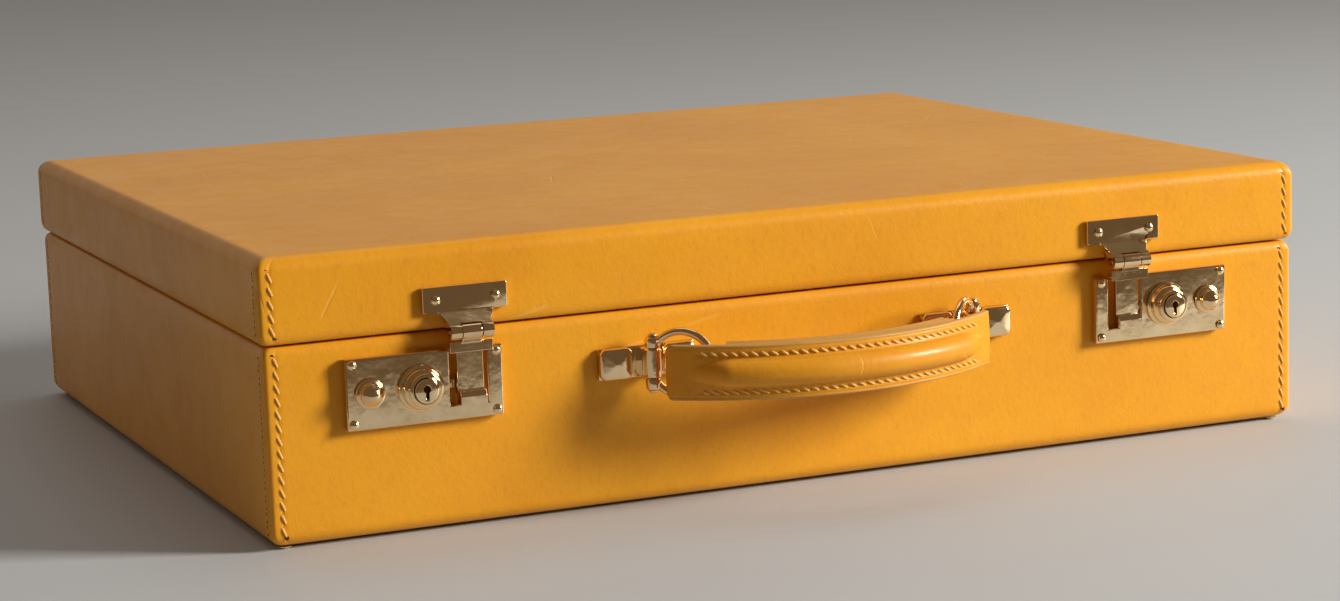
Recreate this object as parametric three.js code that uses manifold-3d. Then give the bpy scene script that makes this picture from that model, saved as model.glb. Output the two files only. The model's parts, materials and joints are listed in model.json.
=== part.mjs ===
// Leather jewellery case: a wooden tray and lid covered in stitched bridle leather, with two
// sliding-bolt locks, a bowed handle on swivel rings, rear hinges, suede lining and a lift-out tray.
// Millimetres, +Z up, the front faces -Y, the feet stand on Z = 0, the origin is the centre of the
// box that holds the whole case.

import * as THREE from 'three';
import { mergeVertices } from 'three/addons/utils/BufferGeometryUtils.js';
import Module from 'manifold-3d';

const wasm = await Module();
wasm.setup();

// ---------------------------------------------------------------- driving dimensions

const seatGap = 0.3;             // daylight kept between two pieces that touch
const runGap = 0.3;              // daylight kept around a piece that turns or slides

const caseWidth = 400;           // over the lid
const caseDepth = 320;           // over the lid
const baseHeight = 67.1;         // leather base, underside to rim
const lidHeight = 29.1;          // leather lid, rim to top
const rimGap = 0.8;              // line between base and lid
const lidOverhang = 0.8;         // how far the lid stands proud of the base, each side
const footHeight = 1.2;

const leather = 2.5;             // hide thickness
const board = 5;                 // wooden carcass thickness
const lining = 1.2;              // suede-covered card
const outerEdgeRadius = 5;       // lid top edges and base bottom edges
const rimRadius = 2.2;           // turned-over rims

const dustLip = 1.6;             // frame that stands inside the base walls
const dustLipRise = 8;           // above the base rim
const trayLedge = 5;             // thickness of that frame below the tray
const lidPadThickness = 6;
const lidPadMargin = 2;          // around the pad

const trayHeight = 24;
const trayBelowRim = 2.3;        // tray edge below the base rim
const trayWall = 2;
const trayPlay = 0.6;            // between the tray and the frame around it
const trayCornerRadius = 7;      // upright corners, outside
const trayInsideRadius = 3;      // and inside
const trayFrontWell = 104.7;     // depth of the two wells at the front
const ringSectionWidth = 118;
const ringRollCount = 3;
const ringRollHeight = 17;
const ringRollGap = 1.2;
const ringRollFootRound = 1.5;
const ringRollTopRound = 6;
const trayTabWidth = 22;
const trayTabRise = 6;           // pull tab above the tray edge
const trayTabSeat = 4;           // pull tab below the tray edge
const trayTabThickness = 1.6;

const hardwareShift = -2.2;      // middle of the locks and handle from the middle of the case
const lockOffset = 142.7;        // lock plate centre from the middle of the hardware
const lockDrop = 18.2;           // lock plate centre below the middle of the rim gap
const plateWidth = 55;
const plateHeight = 24.3;
const plateThickness = 3.1;
const plateEdgeRound = 1.2;
const nailHeadRadius = 1.6;
const nailHeadHeight = 1.1;
const nailShankRadius = 0.7;
const nailInsetX = 2.2;
const nailInsetZ = 2.1;

const haspInset = 12;            // hasp centre from the plate's inner end
const channelWidth = 13.6;       // slot of the plate in which the hasp lies
const channelFloorAbovePlateFoot = 5;
const haspWidth = 9.3;
const haspShoulderWidth = 15.2;
const haspLeafBack = 3.5;        // distance of the leaf's back from the leather
const haspLeafThickness = 1.6;
const haspShoulderBack = 4.3;    // from the base leather
const haspShoulderFront = 7.4;
const haspShoulderLap = 1;       // shoulder over the plate's upper edge
const shoulderGap = 0.65;        // between the shoulder and the outer knuckles
const haspKnuckleWidth = 6.9;
const haspWebBack = 2;           // web between knuckle and shoulder, behind and before the hinge axis
const haspWebFront = 1;
const knuckleRadius = 2.75;
const hingePinRadius = 0.85;
const haspAxisOut = 7;           // hasp hinge axis from the base leather
const lipHeight = 4.8;
const lipReach = 4.6;            // thickness of the hasp's foot, back to front
const lipChamfer = 1.6;
const stapleWidth = 3;
const stapleHeight = 6;
const stapleInset = 0.15;        // from the leaf's side
const stapleStandOff = 0.4;      // in front of the base leather

const boltTravel = 3.6;
const boltBack = 1.2;            // from the base leather
const boltTipGap = 0.4;          // to the staple, with the bolt withdrawn
const boltInset = 3;             // start of the bolt from the knob's centre
const boltThickness = 1;
const boltHeight = 2.8;
const knobInset = 8;             // knob centre from the plate's outer end
const knobRadius = 5.2;
const knobHeight = 5.6;
const knobRimHeight = 1;
const knobNeckRadius = 2.6;
const knobNeckHeight = 3.2;
const knobStemRadius = 1.5;

const barrelInset = 25.8;        // key barrel centre from the plate's outer end
const barrelRadius = 8;
const barrelHeight = 6.2;
const barrelFlange = 1.2;        // thickness at the full radius
const barrelShoulderRadius = 7.2;
const barrelShoulderFoot = 2.2;
const barrelWaistRadius = 5.8;
const barrelWaistFoot = 2.9;
const barrelLip = 1;             // around the plug
const barrelLipBevel = 0.6;
const plugRadius = 4.2;
const plugLength = 4.2;
const plugProud = 0.6;
const keySlotWidth = 1.1;
const keySlotHeight = 4.6;
const keySlotDepth = 2;

const strikeWidth = 30;
const strikeHeight = 8.9;
const strikeThickness = 2;
const strikeRise = 10.6;         // strike centre above the middle of the rim gap
const strikeNeckTaper = 2.7;
const strikeNailInset = 4.4;

const handlePostOffset = 62;     // swivel post from the middle of the hardware
const handleDrop = 17.8;         // swivel rings' middle below the middle of the rim gap
const strapSag = 2.3;            // strap's middle below the rings' middle
const postOut = 7.5;             // swivel axis from the base leather
const postRadius = 2.9;
const postHeight = 10;
const fittingWidth = 35.5;
const fittingHeight = 11;
const fittingPlate = 1.5;
const pillowWidth = 12;
const pillowHeight = 4.5;
const pillowBevel = 1.4;
const pinCapRadius = 1.9;
const pinCapHeight = 1.1;
const swivelPinRadius = 1.2;
const eyeRadius = 2.8;
const eyeHeight = 3.8;
const ringWireRadius = 1.35;
const ringRadius = 11.15;        // wire centre line
const ringCentreOut = 10.3;      // ring centre from the swivel axis

const strapLength = 126;         // straight across, end to end
const strapBow = 23;             // rise of the middle over the ends
const strapReach = 39.5;         // front of the strap's flat from the base leather, at the middle
const strapShift = 1.5;          // how far the handle lies towards +X in its slack
const strapHeight = 19.3;
const strapFace = 3.5;           // front layer
const backingThickness = 6.8;    // back layer between the rings
const tongueHeight = 8;
const tongueThickness = 2.2;
const tongueFold = 2.2;
const foldInset = 3.6;           // from the strap's end
const ribHeight = 9;
const ribRise = 4.5;
const ribShoulder = 2.7;         // rise at the rib's full width
const ribCrown = 5.4;            // width of the rib's top
const ribEndInset = 9;
const ribEndSlope = 3;
const wireRoom = 0.45;           // each side of the ring in its pocket

const rearHingeOffset = 115;
const rearLeafWidth = 44;
const rearLeafHeight = 14;
const rearLeafThickness = 1.5;
const rearKnuckles = 5;
const rearAxisOut = 3.4;         // hinge axis behind the lid leather
const rearStudInset = 5;         // from the leaf's ends
const rearStudRise = 10;         // from the hinge axis

const footRadius = 2.5;
const footInset = 5.6;           // from the base's sides

const fine = 20;                 // sides of a turned piece
const coarse = 12;
const nailSides = 10;
const bite = 0.5;                // how far two joined shapes run into each other

// ---------------------------------------------------------------- places worked out from them

const baseWidth = caseWidth - 2 * lidOverhang;
const baseDepth = caseDepth - 2 * lidOverhang;
const baseFoot = footHeight;
const baseRim = baseFoot + baseHeight;
const lidRim = baseRim + rimGap;
const lidTop = lidRim + lidHeight;
const gapHeight = baseRim + rimGap / 2;

const handleReach = strapReach + ribRise;
const hingeReach = rearAxisOut + knuckleRadius;
const caseCentreY = (handleReach - lidOverhang - hingeReach) / 2;
const frontY = caseCentreY - baseDepth / 2;
const lidBackY = caseCentreY + caseDepth / 2;

const wallStack = leather + seatGap + board + seatGap + lining;
const lipOut = wallStack + seatGap;
const innerX = baseWidth / 2 - lipOut - dustLip;
const innerY = baseDepth / 2 - lipOut - dustLip;
const liningFloor = baseFoot + leather + seatGap + board + seatGap + lining;
const trayTop = baseRim - trayBelowRim;
const trayFoot = trayTop - trayHeight;
const ledgeTop = trayFoot - seatGap;

const plateCentreZ = gapHeight - lockDrop;
const plateFoot = plateCentreZ - plateHeight / 2;
const plateHead = plateCentreZ + plateHeight / 2;
const plateFront = seatGap + plateThickness;
const boltPocketFront = boltBack + boltThickness + runGap;
const haspX = plateWidth / 2 - haspInset;
const strikeBack = lidOverhang + seatGap;
const handleZ = gapHeight - handleDrop;
const strapZ = handleZ - strapSag;
const strapX = hardwareShift + strapShift;

// ---------------------------------------------------------------- solids

const weldDistance = 1e-4;

function signedVolume(points, corners) {
  let sum = 0;
  const a = new THREE.Vector3();
  const b = new THREE.Vector3();
  const c = new THREE.Vector3();
  for (let i = 0; i < corners.length; i += 3) {
    a.fromArray(points, corners[i] * 3);
    b.fromArray(points, corners[i + 1] * 3);
    c.fromArray(points, corners[i + 2] * 3);
    sum += a.dot(b.cross(c));
  }
  return sum / 6;
}

// A closed three.js geometry as a solid that can be joined and cut.
function solidOf(geometry) {
  const plain = geometry.index ? geometry.toNonIndexed() : geometry.clone();
  plain.deleteAttribute('normal');
  plain.deleteAttribute('uv');
  const welded = mergeVertices(plain, weldDistance);
  const points = welded.attributes.position.array;
  const all = welded.index.array;
  const corners = [];
  for (let i = 0; i < all.length; i += 3) {
    const [a, b, c] = [all[i], all[i + 1], all[i + 2]];
    if (a !== b && b !== c && c !== a) corners.push(a, b, c);
  }
  if (signedVolume(points, corners) < 0) corners.reverse();
  return new wasm.Manifold(new wasm.Mesh({
    numProp: 3,
    vertProperties: new Float32Array(points),
    triVerts: new Uint32Array(corners),
  }));
}

function geometryOf(solid) {
  const mesh = solid.getMesh();
  const geometry = new THREE.BufferGeometry();
  geometry.setAttribute('position', new THREE.BufferAttribute(mesh.vertProperties, 3));
  geometry.setIndex(new THREE.BufferAttribute(mesh.triVerts, 1));
  geometry.computeVertexNormals();
  return geometry;
}

const join = (...solids) => solids.reduce((whole, next) => whole.add(next));
const cut = (solid, ...tools) => tools.reduce((rest, tool) => rest.subtract(tool), solid);

// A box between two opposite corners, given in any order.
function box([x0, y0, z0], [x1, y1, z1]) {
  const geometry = new THREE.BoxGeometry(Math.abs(x1 - x0), Math.abs(y1 - y0), Math.abs(z1 - z0));
  return solidOf(geometry.translate((x0 + x1) / 2, (y0 + y1) / 2, (z0 + z1) / 2));
}

// A box on the front of the base: `out` is measured from the base leather towards the viewer.
const frontBox = ([x0, out0, z0], [x1, out1, z1]) => box([x0, frontY - out0, z0], [x1, frontY - out1, z1]);

function rodX(radius, x0, x1, y, z, sides = fine) {
  const geometry = new THREE.CylinderGeometry(radius, radius, Math.abs(x1 - x0), sides);
  return solidOf(geometry.rotateZ(Math.PI / 2).translate((x0 + x1) / 2, y, z));
}

function rodY(radius, x, y0, y1, z, sides = fine) {
  const geometry = new THREE.CylinderGeometry(radius, radius, Math.abs(y1 - y0), sides);
  return solidOf(geometry.translate(x, (y0 + y1) / 2, z));
}

function rodZ(radius, x, y, z0, z1, sides = fine) {
  const geometry = new THREE.CylinderGeometry(radius, radius, Math.abs(z1 - z0), sides);
  return solidOf(geometry.rotateX(Math.PI / 2).translate(x, y, (z0 + z1) / 2));
}

// A turned piece whose axis points out of the case front; the profile is [radius, height] pairs.
function turnedOut(profile, x, out, z, sides = fine) {
  const points = profile.map(([radius, height]) => new THREE.Vector2(radius, height));
  const geometry = new THREE.LatheGeometry(points, sides);
  return solidOf(geometry.rotateX(Math.PI).translate(x, frontY - out, z));
}

// The [radius, height] pairs of a dome that starts at its rim and ends on the axis.
function dome(radius, height, from = 0, steps = 3) {
  const points = [];
  for (let i = 0; i <= steps; i += 1) {
    const angle = (i / steps) * Math.PI / 2;
    points.push([i === steps ? 0 : radius * Math.cos(angle), from + height * Math.sin(angle)]);
  }
  return points;
}

// A rounded rectangle, centred across and running from z0 to z1, with a radius for its low and high corners.
function roundedOutline(half, z0, z1, lowRadius, highRadius) {
  const shape = new THREE.Shape();
  shape.moveTo(-half + lowRadius, z0);
  shape.lineTo(half - lowRadius, z0);
  shape.absarc(half - lowRadius, z0 + lowRadius, lowRadius, -Math.PI / 2, 0);
  shape.lineTo(half, z1 - highRadius);
  shape.absarc(half - highRadius, z1 - highRadius, highRadius, 0, Math.PI / 2);
  shape.lineTo(-half + highRadius, z1);
  shape.absarc(-half + highRadius, z1 - highRadius, highRadius, Math.PI / 2, Math.PI);
  shape.lineTo(-half, z0 + lowRadius);
  shape.absarc(-half + lowRadius, z0 + lowRadius, lowRadius, Math.PI, Math.PI * 1.5);
  return shape;
}

const edgeSegments = 4;

// A block whose low and high edges are rounded and whose upright corners are square.
function roundedBlock(width, depth, z0, z1, lowRadius, highRadius) {
  const across = new THREE.ExtrudeGeometry(roundedOutline(width / 2, z0, z1, lowRadius, highRadius),
    { depth, bevelEnabled: false, curveSegments: edgeSegments });
  across.rotateX(Math.PI / 2).translate(0, caseCentreY + depth / 2, 0);
  const along = new THREE.ExtrudeGeometry(roundedOutline(depth / 2, z0, z1, lowRadius, highRadius),
    { depth: width, bevelEnabled: false, curveSegments: edgeSegments });
  along.rotateX(Math.PI / 2).rotateZ(Math.PI / 2).translate(-width / 2, caseCentreY, 0);
  return solidOf(across).intersect(solidOf(along));
}

// A block about the case's centre lines with rounded upright corners.
function roundedPlan(halfX, halfY, radius, z0, z1) {
  const geometry = new THREE.ExtrudeGeometry(roundedOutline(halfX, -halfY, halfY, radius, radius),
    { depth: z1 - z0, bevelEnabled: false, curveSegments: edgeSegments });
  return solidOf(geometry.translate(0, caseCentreY, z0));
}

// A plain block about the case's centre lines.
const centredBlock = (width, depth, z0, z1) => box(
  [-width / 2, caseCentreY - depth / 2, z0], [width / 2, caseCentreY + depth / 2, z1]);

// ---------------------------------------------------------------- the assembly

const group = new THREE.Group();

function add(name, solid, material) {
  const mesh = new THREE.Mesh(geometryOf(solid), material.clone());
  mesh.name = name;
  group.add(mesh);
}

const finish = (color, roughness, metalness) => (
  new THREE.MeshStandardMaterial({ color, roughness, metalness }));
const hide = finish(0xd08a2c, 0.45, 0);
const wood = finish(0xb58a5a, 0.7, 0);
const suede = finish(0x7a4a26, 0.95, 0);
const brass = finish(0xe2c27a, 0.2, 1);

const sides = [['left', -1], ['right', 1]];

// ---- base and lid shells

function buildBase() {
  const opening = 2 * wallStack;
  const hideInside = centredBlock(baseWidth - 2 * leather, baseDepth - 2 * leather,
    baseFoot + leather, baseRim - rimRadius);
  const mouth = centredBlock(baseWidth - opening, baseDepth - opening, baseRim - 2 * rimRadius, baseRim + 1);
  const outer = roundedBlock(baseWidth, baseDepth, baseFoot, baseRim, outerEdgeRadius, rimRadius);
  add('base_leather_cover', cut(outer, hideInside, mouth), hide);

  const boardOut = 2 * (leather + seatGap);
  const boardTop = baseRim - rimRadius - seatGap;
  const boardFoot = baseFoot + leather + seatGap;
  const boardBox = centredBlock(baseWidth - boardOut, baseDepth - boardOut, boardFoot, boardTop);
  const boardInside = centredBlock(baseWidth - boardOut - 2 * board, baseDepth - boardOut - 2 * board,
    boardFoot + board, boardTop + 1);
  add('base_carcass', cut(boardBox, boardInside), wood);

  const liningOut = boardOut + 2 * (board + seatGap);
  const liningFoot = boardFoot + board + seatGap;
  const liningBox = centredBlock(baseWidth - liningOut, baseDepth - liningOut, liningFoot, boardTop);
  const liningInside = centredBlock(baseWidth - liningOut - 2 * lining, baseDepth - liningOut - 2 * lining,
    liningFoot + lining, boardTop + 1);
  add('base_lining', cut(liningBox, liningInside), suede);

  const lipFoot = liningFloor + seatGap;
  const lipBox = centredBlock(2 * (innerX + dustLip), 2 * (innerY + dustLip), lipFoot, baseRim + dustLipRise);
  const trayWell = centredBlock(2 * innerX, 2 * innerY, ledgeTop, baseRim + dustLipRise + 1);
  const lowWell = centredBlock(2 * (innerX + dustLip - trayLedge), 2 * (innerY + dustLip - trayLedge),
    lipFoot - 1, ledgeTop + 1);
  add('base_dust_lip', cut(lipBox, trayWell, lowWell), suede);
}

function buildLid() {
  const hideInside = centredBlock(caseWidth - 2 * leather, caseDepth - 2 * leather,
    lidRim + rimRadius, lidTop - leather);
  const opening = 2 * wallStack;
  const mouth = centredBlock(caseWidth - opening, caseDepth - opening, lidRim - 1, lidRim + 2 * rimRadius);
  const outer = roundedBlock(caseWidth, caseDepth, lidRim, lidTop, rimRadius, outerEdgeRadius);
  add('lid_leather_cover', cut(outer, hideInside, mouth), hide);

  const boardOut = 2 * (leather + seatGap);
  const boardFoot = lidRim + rimRadius + seatGap;
  const boardTop = lidTop - leather - seatGap;
  const boardBox = centredBlock(caseWidth - boardOut, caseDepth - boardOut, boardFoot, boardTop);
  const boardInside = centredBlock(caseWidth - boardOut - 2 * board, caseDepth - boardOut - 2 * board,
    boardFoot - 1, boardTop - board);
  add('lid_carcass', cut(boardBox, boardInside), wood);

  const liningOut = boardOut + 2 * (board + seatGap);
  const liningTop = boardTop - board - seatGap;
  const liningBox = centredBlock(caseWidth - liningOut, caseDepth - liningOut, boardFoot, liningTop);
  const liningInside = centredBlock(caseWidth - liningOut - 2 * lining, caseDepth - liningOut - 2 * lining,
    boardFoot - 1, liningTop - lining);
  add('lid_lining', cut(liningBox, liningInside), suede);

  const padTop = liningTop - lining - seatGap;
  add('lid_pad', centredBlock(caseWidth - opening - 2 * lidPadMargin, caseDepth - opening - 2 * lidPadMargin,
    padTop - lidPadThickness, padTop), suede);
}

function buildFeet() {
  const names = [['front', -1], ['back', 1]];
  for (const [endName, end] of names) {
    for (const [sideName, side] of sides) {
      const profile = [...dome(footRadius, footHeight - seatGap).reverse(), [0, 0]];
      const points = profile.map(([radius, height]) => new THREE.Vector2(radius, height));
      const stud = new THREE.LatheGeometry(points, coarse).rotateX(-Math.PI / 2);
      const x = side * (baseWidth / 2 - footInset);
      const y = caseCentreY + end * (baseDepth / 2 - footInset);
      add(`foot_${endName}_${sideName}`, solidOf(stud.translate(x, y, footHeight - seatGap)), brass);
    }
  }
}

// ---- locks

function nail(x, out, z, shankLength) {
  const shank = [[0, -shankLength], [nailShankRadius, -shankLength], [nailShankRadius, 0],
    [nailHeadRadius, 0]];
  return turnedOut([...shank, ...dome(nailHeadRadius, nailHeadHeight).slice(1)], x, out, z, nailSides);
}

const nailHole = (x, out, z) => rodY(nailShankRadius + runGap, x, frontY, frontY - out, z, nailSides);

function buildLock(sideName, side) {
  const centreX = hardwareShift + side * lockOffset;
  const at = (inward) => centreX - side * inward;      // `inward` runs towards the handle
  const hasp = at(haspX);
  const barrel = at(barrelInset - plateWidth / 2);
  const knob = at(knobInset - plateWidth / 2);
  const knobFar = at(knobInset - plateWidth / 2 + boltTravel);

  const roundTool = cut(
    frontBox([centreX - plateWidth, plateFront - plateEdgeRound, plateHead - plateEdgeRound],
      [centreX + plateWidth, plateFront + 1, plateHead + 1]),
    rodX(plateEdgeRound, centreX - plateWidth, centreX + plateWidth, frontY - plateFront + plateEdgeRound,
      plateHead - plateEdgeRound, 16));
  let plate = cut(
    frontBox([centreX - plateWidth / 2, seatGap, plateFoot],
      [centreX + plateWidth / 2, plateFront, plateHead]),
    roundTool,
    frontBox([hasp - channelWidth / 2, 0, plateFoot + channelFloorAbovePlateFoot],
      [hasp + channelWidth / 2, plateFront + 1, plateHead + 1]),
    frontBox([at(knobInset - plateWidth / 2 - knobRadius), 0, plateCentreZ - boltHeight / 2 - runGap],
      [hasp, boltPocketFront, plateCentreZ + boltHeight / 2 + runGap]));
  const slotRadius = knobStemRadius + runGap;
  plate = cut(plate,
    rodY(slotRadius, knob, frontY, frontY - plateFront - 1, plateCentreZ, coarse),
    rodY(slotRadius, knobFar, frontY, frontY - plateFront - 1, plateCentreZ, coarse),
    frontBox([knob, 0, plateCentreZ - slotRadius], [knobFar, plateFront + 1, plateCentreZ + slotRadius]));

  const nailX = plateWidth / 2 - nailInsetX;
  const nailZ = plateHeight / 2 - nailInsetZ;
  const corners = [['outer', 'top', -1, 1], ['outer', 'bottom', -1, -1], ['inner', 'top', 1, 1],
    ['inner', 'bottom', 1, -1]];
  for (const [endName, rowName, end, row] of corners) {
    const x = at(end * nailX);
    const z = plateCentreZ + row * nailZ;
    plate = cut(plate, nailHole(x, plateFront + 1, z));
    add(`lock_nail_${sideName}_${endName}_${rowName}`,
      nail(x, plateFront + seatGap, z, plateThickness), brass);
  }
  add(`lock_plate_${sideName}`, plate, brass);

  // key barrel: a stepped dome that stands on the plate, with a turning plug in it
  const barrelBack = plateFront + seatGap;
  const barrelFront = barrelBack + barrelHeight;
  const lipRadius = plugRadius + barrelLip;
  const housing = turnedOut([[0, 0], [barrelRadius, 0], [barrelRadius, barrelFlange],
    [barrelShoulderRadius, barrelShoulderFoot], [barrelWaistRadius, barrelWaistFoot],
    [lipRadius + barrelLipBevel, barrelHeight - barrelLipBevel], [lipRadius, barrelHeight],
    [0, barrelHeight]], barrel, barrelBack, plateCentreZ);
  const plugFront = barrelFront + plugProud;
  const plugBack = plugFront - plugLength;
  const plugBore = rodY(plugRadius + runGap, barrel, frontY - plugBack + runGap, frontY - plugFront,
    plateCentreZ);
  add(`lock_barrel_${sideName}`, cut(housing, plugBore), brass);
  const keySlot = frontBox(
    [barrel - keySlotWidth / 2, plugFront - keySlotDepth, plateCentreZ - keySlotHeight / 2],
    [barrel + keySlotWidth / 2, plugFront + 1, plateCentreZ + keySlotHeight / 2]);
  const plug = rodY(plugRadius, barrel, frontY - plugBack, frontY - plugFront, plateCentreZ);
  add(`key_plug_${sideName}`, cut(plug, keySlot), brass);

  // sliding knob, its stem and the bolt behind the plate
  const knobFoot = plateFront + seatGap;
  const knobProfile = [[0, 0], [knobRadius, 0], [knobRadius, knobRimHeight],
    [knobNeckRadius + 0.6, knobNeckHeight - 0.8], [knobNeckRadius, knobNeckHeight],
    ...dome(knobNeckRadius - 0.2, knobHeight - knobNeckHeight, knobNeckHeight, 4)];
  const knobHead = turnedOut(knobProfile, knob, knobFoot, plateCentreZ);
  const stem = rodY(knobStemRadius, knob, frontY - boltBack, frontY - knobFoot - bite, plateCentreZ, coarse);
  const boltTip = hasp + side * (haspWidth / 2 - stapleInset + boltTipGap);
  const bolt = frontBox([knob + side * boltInset, boltBack, plateCentreZ - boltHeight / 2],
    [boltTip, boltBack + boltThickness, plateCentreZ + boltHeight / 2]);
  add(`lock_knob_${sideName}`, join(knobHead, stem, bolt), brass);
}

// ---- hasps and their strikes

const haspAxisY = frontY - haspAxisOut;
const haspCentre = (side) => hardwareShift + side * (lockOffset - haspX);

// The bore for the hinge pin; it runs well past the outer knuckles.
function haspBore(x) {
  return rodX(hingePinRadius + runGap, x - haspShoulderWidth, x + haspShoulderWidth, haspAxisY, gapHeight,
    coarse);
}

// A slab across the case, centred on x. Its outline is seen from the end of the case: [distance out of
// the base leather, height].
function slabAcross(outline, x, width) {
  const shape = new THREE.Shape(outline.map(([out, z]) => new THREE.Vector2(out, z)));
  const geometry = new THREE.ExtrudeGeometry(shape, { depth: width, bevelEnabled: false });
  return solidOf(geometry.rotateX(Math.PI / 2).rotateZ(-Math.PI / 2).translate(x + width / 2, frontY, 0));
}

// A slab whose outline is seen from the front of the case: [distance from x, height].
function slabOut(outline, x, out) {
  const shape = new THREE.Shape(outline.map(([u, z]) => new THREE.Vector2(u, z)));
  const geometry = new THREE.ExtrudeGeometry(shape, { depth: out, bevelEnabled: false });
  return solidOf(geometry.rotateX(Math.PI / 2).translate(x, frontY, 0));
}

// The hasp: knuckle, shoulder, leaf, a foot that turns outwards and the staple that the bolt enters.
function buildHasp(sideName, side) {
  const x = haspCentre(side);
  const across = (width, [out0, z0], [out1, z1]) => frontBox(
    [x - width / 2, out0, z0], [x + width / 2, out1, z1]);
  const shoulderTop = gapHeight - knuckleRadius - shoulderGap;
  const shoulderFoot = plateHead - haspShoulderLap;
  const leafFront = haspLeafBack + haspLeafThickness;
  const footZ = plateFoot + channelFloorAbovePlateFoot + runGap;
  const footTop = footZ + lipHeight;
  const footFront = haspLeafBack + lipReach;

  const knuckle = rodX(knuckleRadius, x - haspKnuckleWidth / 2, x + haspKnuckleWidth / 2,
    haspAxisY, gapHeight);
  const web = across(haspKnuckleWidth, [haspAxisOut - haspWebBack, shoulderTop - bite],
    [haspAxisOut + haspWebFront, gapHeight]);
  const shoulder = across(haspShoulderWidth, [haspShoulderBack, shoulderFoot],
    [haspShoulderFront, shoulderTop]);
  const leaf = across(haspWidth, [haspLeafBack, footTop - bite], [leafFront, shoulderFoot + bite]);
  const foot = slabAcross([[haspLeafBack, footZ], [footFront, footZ], [footFront, footTop - lipChamfer],
    [footFront - lipChamfer, footTop], [haspLeafBack, footTop]], x, haspWidth);

  const stapleX = x + side * (haspWidth / 2 - stapleInset);
  const staple = frontBox([stapleX, stapleStandOff, plateCentreZ - stapleHeight / 2],
    [stapleX - side * stapleWidth, haspLeafBack + bite, plateCentreZ + stapleHeight / 2]);
  const boltRoom = boltHeight / 2 + runGap;
  const boltEye = frontBox([stapleX + side, boltBack - runGap, plateCentreZ - boltRoom],
    [stapleX - side * (stapleWidth + 1), boltBack + boltThickness + runGap, plateCentreZ + boltRoom]);
  const whole = join(knuckle, web, shoulder, leaf, foot, cut(staple, boltEye));
  add(`hasp_${sideName}`, cut(whole, haspBore(x)), brass);
}

// The strike on the lid: a nailed plate with a tapering neck that ends in the two outer knuckles.
function buildStrike(sideName, side) {
  const x = haspCentre(side);
  const strikeZ = gapHeight + strikeRise;
  const strikeFoot = strikeZ - strikeHeight / 2;
  const strikeHead = strikeZ + strikeHeight / 2;
  const strikeFront = strikeBack + strikeThickness;
  const neckHead = strikeFoot + bite;
  const neckFoot = strikeFoot - strikeNeckTaper;
  const half = haspShoulderWidth / 2;
  const room = haspKnuckleWidth / 2 + runGap;

  const plate = frontBox([x - strikeWidth / 2, strikeBack, strikeFoot],
    [x + strikeWidth / 2, strikeFront, strikeHead]);
  const neckFace = slabOut([[-half - strikeNeckTaper, neckHead], [-half, neckFoot], [-half, gapHeight],
    [half, gapHeight], [half, neckFoot], [half + strikeNeckTaper, neckHead]], x, haspAxisOut + knuckleRadius);
  const neckSlope = slabAcross([[strikeBack, neckHead], [strikeFront, neckHead],
    [haspAxisOut + knuckleRadius * Math.cos(Math.PI / 3), gapHeight + knuckleRadius * Math.sin(Math.PI / 3)],
    [haspAxisOut, gapHeight], [haspAxisOut - knuckleRadius, gapHeight],
    [strikeBack, gapHeight + knuckleRadius - bite]], x, strikeWidth);
  const knuckles = rodX(knuckleRadius, x - half, x + half, haspAxisY, gapHeight);
  const turningRoom = rodX(knuckleRadius + runGap, x - room, x + room, haspAxisY, gapHeight);
  const middleRoom = frontBox([x - room, haspAxisOut - 2 * knuckleRadius, gapHeight - 2 * knuckleRadius],
    [x + room, haspAxisOut + 2 * knuckleRadius, gapHeight]);
  let strike = cut(join(plate, neckFace.intersect(neckSlope), knuckles), turningRoom, middleRoom,
    haspBore(x));
  for (const [endName, end] of [['outer', 1], ['inner', -1]]) {
    const nailX = x + side * end * (strikeWidth / 2 - strikeNailInset);
    strike = cut(strike, nailHole(nailX, strikeFront + 1, strikeZ));
    add(`strike_nail_${sideName}_${endName}`,
      nail(nailX, strikeFront + seatGap, strikeZ, strikeThickness), brass);
  }
  add(`hasp_strike_${sideName}`, strike, brass);
  add(`hasp_pin_${sideName}`, rodX(hingePinRadius, x - half, x + half, haspAxisY, gapHeight, coarse), brass);
}

// ---- handle

const strapHalf = strapLength / 2;
const strapRadius = (strapHalf * strapHalf + strapBow * strapBow) / (2 * strapBow);
const strapEndAngle = Math.asin(strapHalf / strapRadius);
const strapCentreOut = strapReach - strapRadius;       // centre of the bow, behind the base leather
const pocketFront = strapRadius - strapFace;
const ringBarRadius = pocketFront - wireRoom - ringWireRadius;
const backingFront = pocketFront - seatGap;
const backingBack = backingFront - backingThickness;
const ringReach = ringCentreOut + ringRadius;

// Where the ring's far side meets the pocket of the bowed strap: the angle between the case front
// and the ring, for a swivel post at `offset` from the middle of the bow.
function ringAngle(offset) {
  const out = postOut - strapCentreOut;
  const apart = Math.hypot(offset, out);
  const cosine = (ringReach ** 2 + apart ** 2 - ringBarRadius ** 2) / (2 * ringReach * apart);
  return Math.acos(cosine) - Math.atan2(out, offset);
}

// A band bent round the bow's centre, between two angles from the middle of the strap.
function bowedBand(inner, outer, angle0, angle1, height, steps, middleZ = strapZ) {
  const shape = new THREE.Shape();
  const spot = (radius, angle) => [strapX + radius * Math.sin(angle),
    frontY - strapCentreOut - radius * Math.cos(angle)];
  const step = (angle1 - angle0) / steps;
  shape.moveTo(...spot(inner, angle0));
  for (let i = 1; i <= steps; i += 1) shape.lineTo(...spot(inner, angle0 + i * step));
  for (let i = steps; i >= 0; i -= 1) shape.lineTo(...spot(outer, angle0 + i * step));
  const geometry = new THREE.ExtrudeGeometry(shape, { depth: height, bevelEnabled: false });
  return solidOf(geometry.translate(0, 0, middleZ - height / 2));
}

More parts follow.
